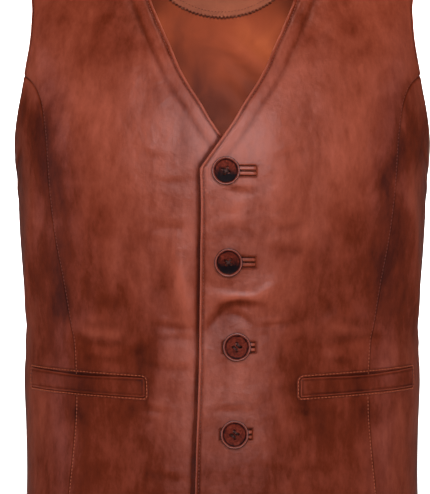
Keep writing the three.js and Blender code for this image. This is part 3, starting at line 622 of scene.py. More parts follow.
def rubbedThreadMaterial(name, dyed, rubAndFoldShade, roughness):
    # the dyed thread, rubbed lighter from the pockets down, so that its stitches stand out there
    material, tree, shader = newMaterial(name, in_Roughness=roughness)
    coords = setNode(tree, "ShaderNodeTexCoord").outputs["Object"]
    height = setNode(tree, "ShaderNodeSeparateXYZ", coords).outputs[2]
    worn = setNode(tree, "ShaderNodeMapRange", height, -0.375, -0.41, 0.0, 1.0)
    colour = setNode(tree, "ShaderNodeValToRGB", worn, stops=((0.0, dyed), (1.0, rubAndFoldShade)))
    setNode(tree, shader, in_Base_Color=colour)
    return material


burnishedLeather = leatherMaterial("leather_burnished")
trimLeather = leatherMaterial("leather_trim_darker", 0.1)  # the same hide, a tone darker
# Smooth dyed lining, ironed flat: warm and even, with hardly any gloss
liningLeather = streakedMaterial("lining_smooth", ((0.0, "#48190c"), (0.5, "#944527"), (1.0, "#c66a3e")),
                                 0.5, 0.2, 24.0, 0.1)
facingLeather = facingMaterial("facing_matt", "#a45c3e", "#8e4d33", 0.75)
# Bonded sewing thread: dull, with no sheen that would show at its width
dyedThread = plainMaterial("thread_dyed", "#743420", 0.6)
buttonThread = plainMaterial("thread_button", "#4e2e25", 0.6)
rubbedThread = rubbedThreadMaterial("thread_rubbed", "#7c3a26", "#b8663f", 0.6)
# Marbled horn-look resin: turned and left matt in the dish, almost black where painted shade darkens it, and
# polished on the rim, which makes a bright ring together with a painted highlight in the rim's tone
hornTones = (0.0, "#08060b"), (0.3, "#180b0d"), (0.5, "#44160e"), (0.7, "#6e2818"), (1.0, "#94503f")
hornFace = streakedMaterial("horn_turned_matt", hornTones, 0.45, 0.05, 260.0, 0.14)
hornRim = streakedMaterial("horn_rim_polished", hornTones, 0.24, 0.6, 260.0, 0.05)


# Shells
def newObject(name, vertices, faces, materials, burnishAndPaintedShade=None, faceMaterials=None):
    mesh = bpy.data.meshes.new(name)
    mesh.from_pydata((np.asarray(vertices) * mm).tolist(), [],
                     faces.tolist() if isinstance(faces, np.ndarray) else faces)
    for material in materials:
        mesh.materials.append(material)
    mesh.polygons.foreach_set("use_smooth", np.ones(len(mesh.polygons), bool))
    if faceMaterials is not None:
        mesh.polygons.foreach_set("material_index", np.asarray(faceMaterials, np.int32))
    if burnishAndPaintedShade is not None:
        mesh.attributes.new("burnishAndPaintedShade", "FLOAT", "POINT").data.foreach_set(
            "value", np.asarray(burnishAndPaintedShade, np.float32))
    mesh.update()
    obj = bpy.data.objects.new(name, mesh)
    bpy.context.scene.collection.objects.link(obj)
    return obj


nearCells = 9  # cells from a net's rim within which its edge can round
seamNarrow = 5.0  # a sewn edge rounds over a fifth of a free one's width


def edgeDistances(points, free, seams):
    # distance of each point near the rim of a net from its free edges, in mm; sewn edges count for more
    grid = points.reshape(*free.shape, 3)
    near = np.ones(free.shape, bool)
    near[nearCells:-nearCells, nearCells:-nearCells] = False
    chosen = np.flatnonzero(near.ravel())
    best = np.full(free.size, 1e3)
    for k, at in enumerate((np.s_[0], np.s_[-1], np.s_[:, 0], np.s_[:, -1])):
        line, isFree = grid[at], free[at]
        if isFree.sum() < 3:
            continue
        isSeam = np.zeros(len(line), bool)
        for edge, fromRow, toRow in seams:
            if edge == k:
                isSeam[fromRow:toRow] = True
        for part, scale in ((isFree & ~isSeam, 1.0), (isFree & isSeam, seamNarrow)):
            path = line[part]
            if len(path) < 2:
                continue
            path = path[np.unique(np.linspace(0, len(path) - 1, 1 + len(path) // 2).astype(int))]
            best[chosen] = np.minimum(best[chosen], distanceTo(points[chosen], path)[0] * scale)
    best[free.ravel()] = 0
    return best


def shellFaces(free, flip):
    rows, columns = free.shape
    a = (np.arange(rows - 1)[:, None] * columns + np.arange(columns - 1)[None]).ravel()
    quads = np.stack([a, a + 1, a + columns + 1, a + columns], axis=1)
    inner = np.arange(rows * columns) + rows * columns
    inner[free.ravel()] = np.flatnonzero(free.ravel())
    innerQuads = inner[quads][:, ::-1]
    return np.concatenate([quads[:, ::-1], innerQuads[:, ::-1]] if flip else [quads, innerQuads])


# Painted light and shade on the lining: across, drop, spreadAcross, spreadDrop and amount
liningShade = table("across drop spreadAcross spreadDrop amount",
                    (36, 110, 22, 28, 0.28), (-46, 112, 9, 32, -0.16), (-22, 128, 8, 24, -0.1),
                    (-8, 134, 16, 10, 0.1), (-62, 96, 10, 12, 0.15))


def liningTone(points):
    # painted shade: lit at the neck, darker further down where the fronts shade it
    return 0.44 - 0.34 * smoothStep(-points[:, 2], 98, 172) + shadeOf(points, liningShade, False)


def buildShell(name, where, free, height, burnishAndPaintedShade, levels, radius, flip, materials, seams=()):
    # a wall between two levels over the form, in mm, with its free edges rounded
    outer, inner = levels
    flat = where.reshape(-1, 2)
    base, normal = formPoint(flat), formNormal(flat)
    distance = np.minimum(edgeDistances(base, free, seams), radius)
    sink = radius - np.sqrt(np.maximum(radius ** 2 - (radius - distance) ** 2, 0))
    sink = sink * (outer - inner) / 2 / radius
    vertices = np.concatenate([base + normal * (height + outer - sink)[:, None],
                               base + normal * (height + inner + sink)[:, None]])
    faces = shellFaces(free, flip)
    isInner = np.arange(len(faces)) >= len(faces) // 2
    return newObject(name, vertices, faces, materials, np.concatenate([burnishAndPaintedShade, liningTone(base)]), isInner)


def cleanShell(obj):
    # drops the unused twins of edge points and joins the halves along the centre back
    mesh = bmesh.new()
    mesh.from_mesh(obj.data)
    loose = [v for v in mesh.verts if not v.link_faces]
    bmesh.ops.delete(mesh, geom=loose, context="VERTS")
    middle = [v for v in mesh.verts if abs(v.co.x) < 1e-6]
    bmesh.ops.remove_doubles(mesh, verts=middle, dist=1e-6)
    bmesh.ops.recalc_face_normals(mesh, faces=mesh.faces)
    mesh.to_mesh(obj.data)
    mesh.free()
    return obj


def fullyFree(net):
    free = np.zeros(net.shape[:2], bool)
    free[0] = free[-1] = True
    free[:, 0] = free[:, -1] = True
    return free


# Patches where the leather is lighter or darker: mottled dye with painted shade and painted sheen mixed in;
# across and drop in mm, the same on both fronts
frontShade = table("across drop spreadAcross spreadDrop amount",
                   (113, 102, 10, 7, -0.5), (118, 128, 11, 13, -0.65), (82, 136, 11, 9, -0.3),
                   (104, 160, 6, 8, -0.3), (78, 188, 12, 5, -0.2), (146, 178, 5, 7, -0.3),
                   (147, 98, 12, 8, -0.35), (168, 160, 6, 8, -0.3), (136, 172, 18, 18, 0.25),
                   (124, 171, 16, 14, 0.15), (50, 190, 22, 22, 0.3), (66, 156, 10, 20, 0.15),
                   (158, 212, 9, 40, -1.0), (150, 262, 9, 46, -0.8), (172, 214, 6, 26, -0.45),
                   (105, 280, 8, 16, -0.35), (126, 300, 9, 48, 0.15), (98, 350, 14, 26, -0.75),
                   (84, 330, 8, 30, -0.35), (104, 378, 24, 7, 0.4), (66, 402, 11, 11, -0.5),
                   (130, 345, 6, 24, 0.2), (150, 350, 6, 40, -0.25), (66, 441, 8, 14, -0.65),
                   (78, 452, 18, 8, -0.7), (126, 448, 9, 9, -0.65), (70, 474, 13, 16, -0.6),
                   (72, 500, 16, 7, -0.4), (104, 484, 9, 12, 0.25), (46, 514, 18, 6, 0.2),
                   (30, 330, 20, 60, 0.35), (30, 420, 18, 60, 0.3), (112, 440, 40, 16, -0.3),
                   (140, 478, 8, 14, 0.2), (100, 530, 60, 14, -0.2))
# The same, with left and right apart
oneSided = table("across drop spreadAcross spreadDrop amount",
                 (16, 251, 12, 3, -0.8), (10, 290, 18, 5, -0.7), (14, 354, 20, 3, -1.1),
                 (18, 345, 20, 4, 0.4), (55, 283, 14, 5, -0.5), (58, 303, 15, 6, -0.7),
                 (-2, 362, 6, 8, -0.6), (8, 445, 16, 3, -0.5), (48, 368, 16, 3, -0.5),
                 (60, 378, 18, 46, -0.75), (34, 392, 16, 55, -0.1), (-60, 376, 12, 34, -0.45),
                 (128, 300, 26, 46, -0.5), (160, 300, 18, 60, -0.45), (-150, 300, 30, 60, -0.3),
                 (-172, 182, 13, 32, -1.2), (172, 172, 11, 34, -0.8), (-142, 234, 34, 24, -0.55),
                 (140, 236, 26, 18, -0.3), (-60, 330, 12, 26, 0.35), (-18, 400, 10, 30, 0.4),
                 (-42, 172, 14, 26, -0.35), (-118, 376, 26, 12, 0.5), (116, 384, 26, 14, 0.35),
                 (72, 425, 14, 26, -0.75), (136, 335, 14, 24, -0.5), (93, 336, 10, 16, 0.4),
                 (-84, 325, 12, 14, 0.35), (-105, 322, 12, 34, -0.45), (70, 306, 10, 18, 0.4),
                 (50, 412, 10, 12, 0.35), (-62, 350, 12, 24, 0.3), (27, 470, 10, 20, 0.35),
                 (-162, 408, 26, 22, -0.35), (-84, 100, 10, 16, 0.4), (68, 190, 10, 12, 0.35),
                 (-128, 256, 12, 20, -0.35), (78, 392, 10, 30, -0.2), (-112, 484, 36, 30, 0.4),
                 (98, 440, 12, 14, 0.5), (-78, 350, 16, 30, 0.4), (-122, 260, 14, 30, -0.4),
                 (72, 290, 12, 24, 0.35), (70, 365, 10, 12, -0.3), (120, 302, 16, 14, 0.4),
                 (-84, 434, 14, 12, -0.4), (-168, 264, 14, 18, 0.2), (172, 250, 10, 18, 0.3),
                 (-106, 391, 13, 9, 0.7), (-84, 370, 12, 10, -0.5), (104, 389, 13, 9, 0.6),
                 (-62, 400, 12, 30, -0.3), (30, 186, 20, 20, -0.2), (112, 150, 34, 60, -0.28),
                 (-160, 252, 24, 36, -0.3), (-72, 430, 9, 11, -0.7), (60, 359, 9, 10, -0.65),
                 (60, 429, 10, 12, -0.65), (82, 452, 10, 9, 0.6), (-84, 384, 14, 8, 0.4),
                 (-72, 496, 10, 12, 0.45), (16, 480, 12, 24, 0.4), (38, 405, 8, 10, 0.3),
                 (38, 478, 10, 14, 0.3), (148, 142, 10, 16, -0.45), (148, 245, 10, 14, -0.5),
                 (-142, 359, 14, 12, -0.4))
# Strength and width of each mark: the first value scales the painted fold shade; edge is a painted highlight
# with some rubbing; stitch, facing, slot, hole and under are painted shade in stitch dips, the facing groove,
# the pocket mouth, round the buttonholes and beside the overlapping front edge; seam is a darker joint
shade = dict(worn=0.4, patches=0.55, patchesEnd=(-20, 30), seam=(-0.3, 0.6), edge=(0.85, 1.0),
             stitch=(-0.8, 0.9), facing=(-0.5, 2.4), under=(-2.0, 3.4), slot=(-2.0, 1.6), hole=(-1.3, 1.1))


def shadeOf(points, rows, isMirrored):
    # soft patches with wandering outlines
    across = np.abs(points[:, 0]) if isMirrored else points[:, 0]
    drop = -points[:, 2]
    across, drop = (across + 4 * np.sin(drop / 13 + 1.3) + 2.5 * np.sin(points[:, 0] / 7 + drop / 21),
                    drop + 4 * np.sin(across / 11 + 0.4) + 3 * np.sin(drop / 7 + points[:, 0] / 17))
    value = np.zeros(len(points))
    for x, z, dx, dz, amount in zip(*rows.values()):
        value += amount * np.exp(-((across - x) / dx) ** 2 - ((drop - z) / dz) ** 2)
    return value


def wideShade(points):
    # lighter on the chest and round the buttons, darker down the sides and towards the hem: partly the dye's
    # tone, partly painted shade, as at the top where it darkens what the key light brightens on the upper
    # slopes
    out, drop = np.abs(points[:, 0]), -points[:, 2]
    outer, rim, low = smoothStep(out, 52, 92), smoothStep(out, 112, 150), smoothStep(drop, 220, 305)
    value = 0.23 - 0.57 * outer * low
    value -= 0.5 * rim * smoothStep(drop, 130, 185) * (1 - low)
    atEnds = 0.15 * smoothStep(drop, 425, 470) + 0.2 * (1 - smoothStep(drop, 105, 150))
    value += smoothStep(out, 108, 165) * atEnds
    value -= (1 - outer) * (0.15 * smoothStep(drop, 320, 380) + 0.4 * smoothStep(drop, 425, 505))
    value += 0.16 * smoothStep(drop, 115, 160) * (1 - smoothStep(drop, 275, 320))
    return value - 0.3 * (1 - smoothStep(drop, 95, 150))


def tinge(name, distance):
    amount, width = shade[name]
    return amount * bell(distance, width)


def burnishAndPaintedShadeOf(where, points, rubAndFoldShade, kind, isOver):
    # mottled dye, with painted shade in folds, stitch dips, the facing groove, the pocket mouth, round the
    # buttonholes and beside the overlapping edge, and painted highlights on fold ridges and along free edges
    value = shade["worn"] * rubAndFoldShade + wideShade(points)
    lines = [("stitch", path) for path in stitchPaths[kind]] + [("edge", path) for path in edgePaths[kind]]
    if kind != "back":
        patches = shadeOf(points, frontShade, True) + shadeOf(points, oneSided, False)
        value += shade["patches"] * patches * smoothStep(-points[:, 1], *shade["patchesEnd"])
        along, up = alongPocket(where)
        inSlot = (along > 3) & (along < pocket["length"] - 3)
        # painted shadow along the pocket mouth
        value += inSlot * tinge("slot", up - pocket["height"] / 2 + 0.6)
        lines.append(("seam", seamPath))
    if kind == "front":
        lines.append(("facing", facingPath))
    if isOver:
        for across, drop, holeEnd, turn in zip(*fastenings.values()):
            aside = np.abs(points[:, 0] - holeEnd + hole["length"] / 2) - hole["length"] / 2
            above = np.abs(-points[:, 2] - drop) - hole["height"] / 2
            # painted shade round each buttonhole window
            value += tinge("hole", np.maximum(np.maximum(aside, above), 0))
    elif kind == "front":
        # painted shadow on the under front beside the overlapping edge
        value += tinge("under", distanceTo(points, edgePaths["front"][0])[0])
    # painted shade in stitch dips and along the facing groove, a painted highlight with some rubbing along
    # free edges, and a darker joint at the seam
    for name, path in lines:
        value += tinge(name, distanceTo(onLeft(points, where, kind), path)[0])
    return value


# Which edges of each net are sewn to a neighbour: 0 bottom, 1 top, 2 inner, 3 outer, then rows
allRows = 9999
sewnEdges = dict(front=((1, 0, allRows), (3, 0, hookEnd)), side=((2, 0, allRows), (3, 0, allRows)),
                 back=((1, 0, allRows), (3, 0, hookEnd)))
wallLevels = 0.0, -form["wall"]


def addPanel(name, net, kind, isRight=False, isOver=False):
    where = mirrored(net) if isRight else net
    height, rubAndFoldShade, points = relief(where, kind, isOver)
    burnishAndPaintedShade = burnishAndPaintedShadeOf(where.reshape(-1, 2), points, rubAndFoldShade, kind, isOver)
    return cleanShell(buildShell(name, where, fullyFree(net), height, burnishAndPaintedShade, wallLevels, form["edgeRadius"],
                                 isRight, [burnishedLeather, liningLeather], sewnEdges[kind]))


def applyModifiers(obj):
    mesh = bpy.data.meshes.new_from_object(obj.evaluated_get(bpy.context.evaluated_depsgraph_get()))
    obj.modifiers.clear()
    obj.data = mesh
    return obj


frontLeft = addPanel("leather_front_left", front, "front", isOver=True)
frontRight = addPanel("leather_front_right", front, "front", isRight=True)
sideLeft = addPanel("leather_side_left", side, "side")
sideRight = addPanel("leather_side_right", side, "side", isRight=True)
print("fronts and sides built")

# The lining lies inside the back and stops short of its edges
lining = dict(levels=(-2.3, -3.3), radius=0.5, shortRows=8, shortColumns=6, fold=0.8, foldLength=9.0,
              foldBelow=(88, 120))
liningNet = halfBack[lining["shortRows"]:-lining["shortRows"]:2, :-lining["shortColumns"]:2]


def liningFold(points):
    # slack of the lining below the facing, in soft slanting folds
    slant = (0.8 * points[:, 0] + points[:, 2]) / lining["foldLength"]
    wave = np.sin(slant + 0.8 * np.sin(points[:, 0] / 23))
    return lining["fold"] * wave ** 2 * smoothStep(-points[:, 2], *lining["foldBelow"])


def addBack(name, net, levels, radius, joined, isLining=False):
    # two halves, joined along the centre back up to the neck
    parts = []
    for isRight in (False, True):
        where = mirrored(net, "back") if isRight else net
        free = fullyFree(net)
        free[:joined, 0] = False
        height, rubAndFoldShade, points = relief(where, "back")
        if isLining:
            height -= liningFold(points)
            burnishAndPaintedShade = liningTone(points)
        else:
            burnishAndPaintedShade = burnishAndPaintedShadeOf(where.reshape(-1, 2), points, rubAndFoldShade, "back", False)
        materials = [liningLeather if isLining else burnishedLeather, liningLeather]
        parts.append(buildShell(name, where, free, height, burnishAndPaintedShade, levels, radius, isRight, materials,
                                sewnEdges["back"]))
    bpy.ops.object.select_all(action="DESELECT")
    for part in parts:
        part.select_set(True)
    bpy.context.view_layer.objects.active = parts[0]
    bpy.ops.object.join()
    return cleanShell(parts[0])


back = addBack("leather_back", halfBack, wallLevels, form["edgeRadius"], hookEnd - 1)
liningShell = addBack("lining_back", liningNet, lining["levels"], lining["radius"],
                      (hookEnd - lining["shortRows"]) // 2, isLining=True)
print("back and lining built")

# Half-moon facing with a pinked lower edge
moon = dict(radius=83.5, centreDrop=1.0, topHalfWidth=78.0, topDrop=1.0, columns=460, rows=24, ends=0.06,
            tooth=3.6, toothDepth=2.1, levels=(-3.35, -3.9), edgeRadius=0.3, stitchIn=7.4, stitchEnds=0.3)


def moonNet():
    turn = np.linspace(moon["ends"], math.pi - moon["ends"], moon["columns"] + 1)
    teeth = np.abs(((turn * moon["radius"] / moon["tooth"]) % 1) - 0.5) * 2 * moon["toothDepth"]
    radius = moon["radius"] - teeth
    lowAcross, lowDrop = radius * np.cos(turn), moon["centreDrop"] + radius * np.sin(turn)
    highAcross = moon["topHalfWidth"] * np.cos(turn)
    highDrop = readTable(backNeck, "out", "drop", np.abs(highAcross)) + moon["topDrop"]
    t = np.linspace(0, 1, moon["rows"] + 1)[:, None]
    drop = np.maximum(lowDrop, highDrop + 0.5) * (1 - t) + highDrop * t
    return placeAcross(lowAcross + (highAcross - lowAcross) * t, drop, isBack=True)


moonPlaces = moonNet()
height, rubAndFoldShade, points = relief(moonPlaces, "back")
neckFacing = cleanShell(buildShell("facing_neck", moonPlaces, fullyFree(moonPlaces), height, rubAndFoldShade,
                                   moon["levels"], moon["edgeRadius"], False, [facingLeather, facingLeather]))


# Pockets
def clothAt(where, isOver):
    # place on the form, normal and height of the front's outer face, without its stitch dips
    flat = where.reshape(-1, 2)
    points = formPoint(flat)
    height = creaseHeight(points)[0]
    return points, formNormal(flat), height + liftOver(points) if isOver else height


def addWelt(label, isRight):
    half = pocket["height"] / 2
    up = np.linspace(-0.5, 0.5, pocket["rows"] + 1) * pocket["height"]
    up = np.sign(up) * half * (1 - (1 - np.abs(up) / half) ** pocket["rowCrowd"])
    along, up = np.meshgrid(np.linspace(0, pocket["length"], pocket["columns"] + 1), up)
    corner = np.where(up > 0, pocket["corners"][2], pocket["corners"][3])
    short = np.clip(corner - along, 0, corner)
    up = up * (1 - (corner - np.sqrt(corner ** 2 - short ** 2)) / half)
    sag = pocket["mouthDepth"] * bell(along - pocket["mouthAt"], pocket["mouthSpread"])
    where = pocketPlaces(along, up - sag * smoothStep(up, -2, half), isRight)
    points, normal, height = clothAt(where, not isRight)
    edge = np.minimum(np.minimum(along, pocket["length"] - along), half - np.abs(up)).ravel()
    low, full = pocket["edgeShare"], 1 - np.exp(-edge / pocket["crownSpread"])
    crown = pocket["wall"] * (low + (1 - low) * full)
    crown -= pocket["foldDepth"] * bell(up.ravel() + half - pocket["foldAt"], pocket["foldWidth"])
    free, height = fullyFree(where), height + pocket["gap"]
    crown = np.where(free.ravel(), pocket["edgeRise"], crown)
    vertices = np.concatenate([points + normal * (height + crown)[:, None], points + normal * height[:, None]])
    # a tone darker overall, a painted highlight with some rubbing along the welt's edges, painted shade just
    # inside them
    burnishAndPaintedShade = -0.3 + 0.9 * bell(edge, 0.9) - 0.4 * bell(edge - 2.0, 0.8)
    return cleanShell(newObject("leather_welt_" + label, vertices, shellFaces(free, isRight), [trimLeather],
                                np.concatenate([burnishAndPaintedShade, burnishAndPaintedShade])))


def roundedLoop(pitch=1.2):
    # along the middle of the rim, all round the welt
    out = pocket["rimGap"] + pocket["rimWidth"] / 2
    loop = []
    for corner, turn, isInner, level in zip(pocket["corners"], (-90, 0, 90, 180), (0, 0, 1, 1),
                                            (-1, 1, 1, -1)):
        x = corner if isInner else pocket["length"] - corner
        y = level * (pocket["height"] / 2 - corner)
        for a in np.linspace(turn, turn + 90, 9) * degree:
            loop.append((x + (corner + out) * math.cos(a), y + (corner + out) * math.sin(a)))
    loop = np.array(loop + loop[:1])
    along = lengthsAlong(loop)
    return readPath(loop, along, np.linspace(0, along[-1], int(along[-1] / pitch) + 1))


def addRim(label, isRight):
    # half-round turned strip round the welt
    middle = roundedLoop()[:-1]
    ahead = unit(np.roll(middle, -1, 0) - np.roll(middle, 1, 0))
    outward = np.stack([ahead[:, 1], -ahead[:, 0]], axis=1)
    turns = np.linspace(0, 2 * math.pi, 12, endpoint=False)
    strips = []
    for a in turns:
        at = middle + outward * math.cos(a) * pocket["rimWidth"] / 2
        points, normal, height = clothAt(pocketPlaces(at[:, 0], at[:, 1], isRight), not isRight)
        rise = pocket["gap"] - 0.2 + (pocket["rimHeight"] * max(math.sin(a), 0) ** 0.8)
        strips.append(points + normal * (height + rise + (-0.05 if math.sin(a) < 0 else 0))[:, None])
    vertices, count = np.concatenate(strips), len(middle)
    i, k = np.meshgrid(np.arange(count), np.arange(len(turns)), indexing="ij")
    nextI, nextK = (i + 1) % count, (k + 1) % len(turns)
    faces = np.stack([k * count + i, nextK * count + i, nextK * count + nextI, k * count + nextI], axis=-1)
    return cleanShell(newObject("leather_rim_" + label, vertices, faces.reshape(-1, 4), [trimLeather],
                                np.full(len(vertices), -0.15)))


weltLeft, weltRight = addWelt("left", False), addWelt("right", True)
rimLeft, rimRight = addRim("left", False), addRim("right", True)
print("pockets built")


# Buttons and buttonholes
reach = button["holeOffset"]
holeSpots = (reach, reach), (-reach, reach), (-reach, -reach), (reach, -reach)


def fasteningFrame(across, drop):
    points, normal, height = clothAt(placeAcross(np.array([across]), np.array([drop])), True)
    out = Vector(normal[0])
    up = (Vector((0, 0, 1)) - out * out.z).normalized()
    matrix = Matrix((up.cross(out), up, out)).transposed().to_4x4()
    matrix.translation = Vector(points[0] + normal[0] * height[0])
    return matrix


def toWorld(vertices, matrix):
    return np.asarray(vertices) @ np.array(matrix.to_3x3()).T + np.array(matrix.translation)


def solidFloor(name, matrix):
    # the lowest place of a solid along the button's own way out
    corners = np.array([tuple(v.co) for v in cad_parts[name].data.vertices]) / mm
    return ((corners - np.array(matrix.translation)) @ np.array(matrix.to_3x3()))[:, 2].min()


def latheFaces(profile, segments):
    # closed lathe about z whose profile starts and ends on the axis
    inside = profile[1:-1]
    turns = np.linspace(0, 2 * math.pi, segments, endpoint=False)
    vertices = [(0, 0, profile[0][1])]
    for r, z in inside:
        vertices += [(r * math.cos(a), r * math.sin(a), z) for a in turns]
    vertices.append((0, 0, profile[-1][1]))
    steps = [(k, (k + 1) % segments) for k in range(segments)]
    faces = [[0, 1 + after, 1 + k] for k, after in steps]
    for low in range(1, 1 + (len(inside) - 1) * segments, segments):
        faces += [[low + k, low + after, low + segments + after, low + segments + k] for k, after in steps]
    last, top = 1 + (len(inside) - 1) * segments, len(vertices) - 1
    return vertices, faces + [[last + k, last + after, top] for k, after in steps]


def tubeFaces(count, segments):
    # rings joined one to the next, with a lid at each end
    faces = [[low + k, low + segments + k, low + segments + (k + 1) % segments, low + (k + 1) % segments]
             for low in range(0, (count - 1) * segments, segments) for k in range(segments)]
    last = range((count - 1) * segments, count * segments)
    return faces + [list(range(segments)), list(last)[::-1]]


def tube(path, radius, segments=8):
    # a closed tube with rounded ends along points
    path = np.array(path, float)
    ahead = unit(np.gradient(path, axis=0))
    guide = np.array([0, 0, 1.0]) if abs(ahead[0][2]) < 0.9 else np.array([1.0, 0, 0])
    sideways = unit(np.cross(ahead, guide))
    other = np.cross(sideways, ahead)
    vertices = []
    for i, point in enumerate(path):
        r = radius * (0.6 if i in (0, len(path) - 1) else 1.0)
        for a in np.linspace(0, 2 * math.pi, segments, endpoint=False):
            vertices.append(tuple(point + r * (math.cos(a) * sideways[i] + math.sin(a) * other[i])))
    return vertices, tubeFaces(len(path), segments)


def joinParts(parts):
    vertices, faces = [], []
    for partVertices, partFaces in parts:
        faces += [[i + len(vertices) for i in face] for face in partFaces]
        vertices += list(partVertices)
    return vertices, faces


def cutWith(obj, vertices, faces):
    cutter = newObject("cutter", vertices, faces, [])
    modifier = obj.modifiers.new("cut", "BOOLEAN")
    modifier.operation, modifier.solver, modifier.object = "DIFFERENCE", "EXACT", cutter
    applyModifiers(obj)
    bpy.data.objects.remove(cutter)


def buttonProfile():
    r, h = button["radius"], button["height"]
    profile = [(0, 0), (r - 3.0, 0), (r - 1.6, 0.35), (r - 0.6, 1.2), (r - 0.1, 2.2)]
    for a in np.linspace(-20, 190, 12) * degree:  # the rounded rim
        profile.append((r - 0.75 + 0.75 * math.cos(a), h - 0.8 + 0.75 * math.sin(a)))
    profile += [(r - 1.7, h - 1.5), (r - 2.4, h - 1.85), (r - 3.8, h - 2.0), (6.0, h - 2.1), (4.8, h - 2.1)]
    return profile + [(x, h - button["dish"]) for x in (3.9, 2.0, 0)]


def addButton(index, across, drop, turn, isShaded):
    matrix = fasteningFrame(across, drop)
    lift = Matrix.Translation((0, 0, solidFloor(f"button_{index}", matrix)))
    placed = matrix @ lift @ Matrix.Rotation(turn * degree, 4, "Z")
    vertices, faces = latheFaces(buttonProfile(), button["segments"])
    x, y, z = np.array(vertices).T
    upright = x * math.sin(turn * degree) + y * math.cos(turn * degree)
    fromRim = button["radius"] - np.hypot(x, y)
    # painted shade: the two upper buttons darker towards their lower half
    tone = 0.22 + 0.42 * smoothStep(upright, -6, 4) if isShaded else 0.66 + 0 * upright
    tone = np.where(fromRim < 2.0, 0.95, np.where(fromRim < 2.5, 0.3, tone))  # painted highlight on the rim, painted shade in the groove inside it
    # painted shade round the outer edge
    tone = np.where(fromRim < 0.45, 0.1, tone)
    onRim = [np.mean(fromRim[list(face)]) < 1.9 for face in faces]
    obj = newObject(f"horn_button_{index}", toWorld(vertices, placed), faces, [hornFace, hornRim], tone,
                    onRim)
    radius = button["holeRadius"]
    for x, y in holeSpots:
        drill, drillFaces = latheFaces([(0, -1), (radius, -1), (radius, 6), (0, 6)], 20)
        cutWith(obj, toWorld(np.array(drill, float) + [x, y, 0], placed), drillFaces)
    return obj, placed


def addShank(index, placed, isCrossed):
    # thread down through the hole to the front below, and the strands over the button's face
    face = button["height"] - button["dish"]
    pairs = ((0, 2), (1, 3)) if isCrossed else ((0, 3), (1, 2))
    parts = []
    for k, (first, second) in enumerate(pairs):
        a, b = np.array(holeSpots[first]), np.array(holeSpots[second])
        aside = np.array([a[1] - b[1], b[0] - a[0]]) / np.linalg.norm(b - a)
        for shift in (-0.33, 0.33):
            path = [(*(a + (b - a) * t + aside * shift),
                     face - 1.4 + (1.95 + 0.25 * k) * math.sin(math.pi * t) ** 0.35)
                    for t in np.linspace(0, 1, 13)]
            parts.append(tube(path, 0.36))
    for x, y in holeSpots:
        parts.append(tube([(x, y, face - 1.2), (x * 0.8, y * 0.8, 0.2), (x * 0.35, y * 0.35, -0.6)], 0.5))
    floor = solidFloor(f"thread_shank_{index}", placed)
    parts.append(tube([(0, 0, -0.2), (0, 0, floor * 0.5), (0, 0, floor)], 1.0, 12))
    vertices, faces = joinParts(parts)
    return newObject(f"thread_button_{index}", toWorld(vertices, placed), faces, [buttonThread])


def addLip(index, level, sign, matrix, threadAt):
    # one folded lip of a bound hole, which bulges round the thread
    columns, turns, full = hole["columns"], hole["turns"], hole["fullness"]
    half, edge = hole["length"] / 2 - hole["margin"], hole["height"] / 2 - hole["margin"]
    vertices, tones = [], []
    for i in range(columns + 1):
        x = -half + 2 * half * i / columns
        nearThread = bell(x - threadAt, hole["threadBulge"])
        inner = hole["slit"] + (button["shankRadius"] + hole["threadRoom"] - hole["slit"]) * nearThread
        middle, spread = (inner + edge) / 2, (edge - inner) / 2
        endEase = min(1.0, (0.25 + min(i, columns - i) / 3.0))
        for k in range(turns):
            across, rise = math.cos(2 * math.pi * k / turns), math.sin(2 * math.pi * k / turns)
            y = middle + spread * np.sign(across) * abs(across) ** 0.6
            z = full * np.sign(rise) * abs(rise) ** 0.7 * endEase + hole["proud"] - full
            vertices.append((x, sign * y, z + hole["lipCrown"] * bell(y - inner, 1.2) * endEase))
            # painted shade at the slit and along the lip's outer edge
            tones.append(0.8 - 2.2 * bell(edge - y, 0.9) - 1.6 * bell(y - inner, 0.5))
    return cleanShell(newObject(f"leather_lip_{level}_{index}", toWorld(vertices, matrix),
                                tubeFaces(columns + 1, turns), [trimLeather], tones))


def holeBox(matrix):
    x, y, z = hole["length"] / 2, hole["height"] / 2, hole["cutReach"]
    box = [(x * i, y * j, z * k) for i in (-1, 1) for j in (-1, 1) for k in (-1, 1)]
    faces = [[0, 1, 3, 2], [4, 6, 7, 5], [0, 4, 5, 1], [2, 3, 7, 6], [0, 2, 6, 4], [1, 5, 7, 3]]
    return toWorld(box, matrix), faces


fastened, boxes = [], []
for i, (across, drop, holeEnd, turn) in enumerate(zip(*fastenings.values())):
    isUpper = i < 2  # the two upper buttons are in half shade, with crossed thread
    made, placed = addButton(i + 1, across, drop, turn, isUpper)
    fastened += [(made, "horn", f"button_{i + 1}"),
                 (addShank(i + 1, placed, isUpper), "thread", f"thread_shank_{i + 1}")]
    centre = holeEnd - hole["length"] / 2
    matrix = fasteningFrame(centre, drop)
    for level, sign in (("upper", 1), ("lower", -1)):
        fastened.append((addLip(i + 1, level, sign, matrix, across - centre), "leather_trim",
                         f"buttonhole_{i + 1}_{level}_lip"))
    boxes.append(holeBox(matrix))
cutWith(frontLeft, *joinParts(boxes))
print("buttons and buttonholes built")

# Stitches
stitching = dict(pitch=3.2, length=2.0, radius=0.31, sag=0.32, thickness=0.92, unevenness=0.16, seed=7)


def stitchMesh():
    path = [(t * stitching["length"] / 2, 0, 0.1 - stitching["sag"] * t ** 4) for t in np.linspace(-1, 1, 5)]
    obj = newObject("stitch_model", *tube(path, stitching["radius"], 6), [])
    obj.hide_render = obj.hide_viewport = True
    return obj


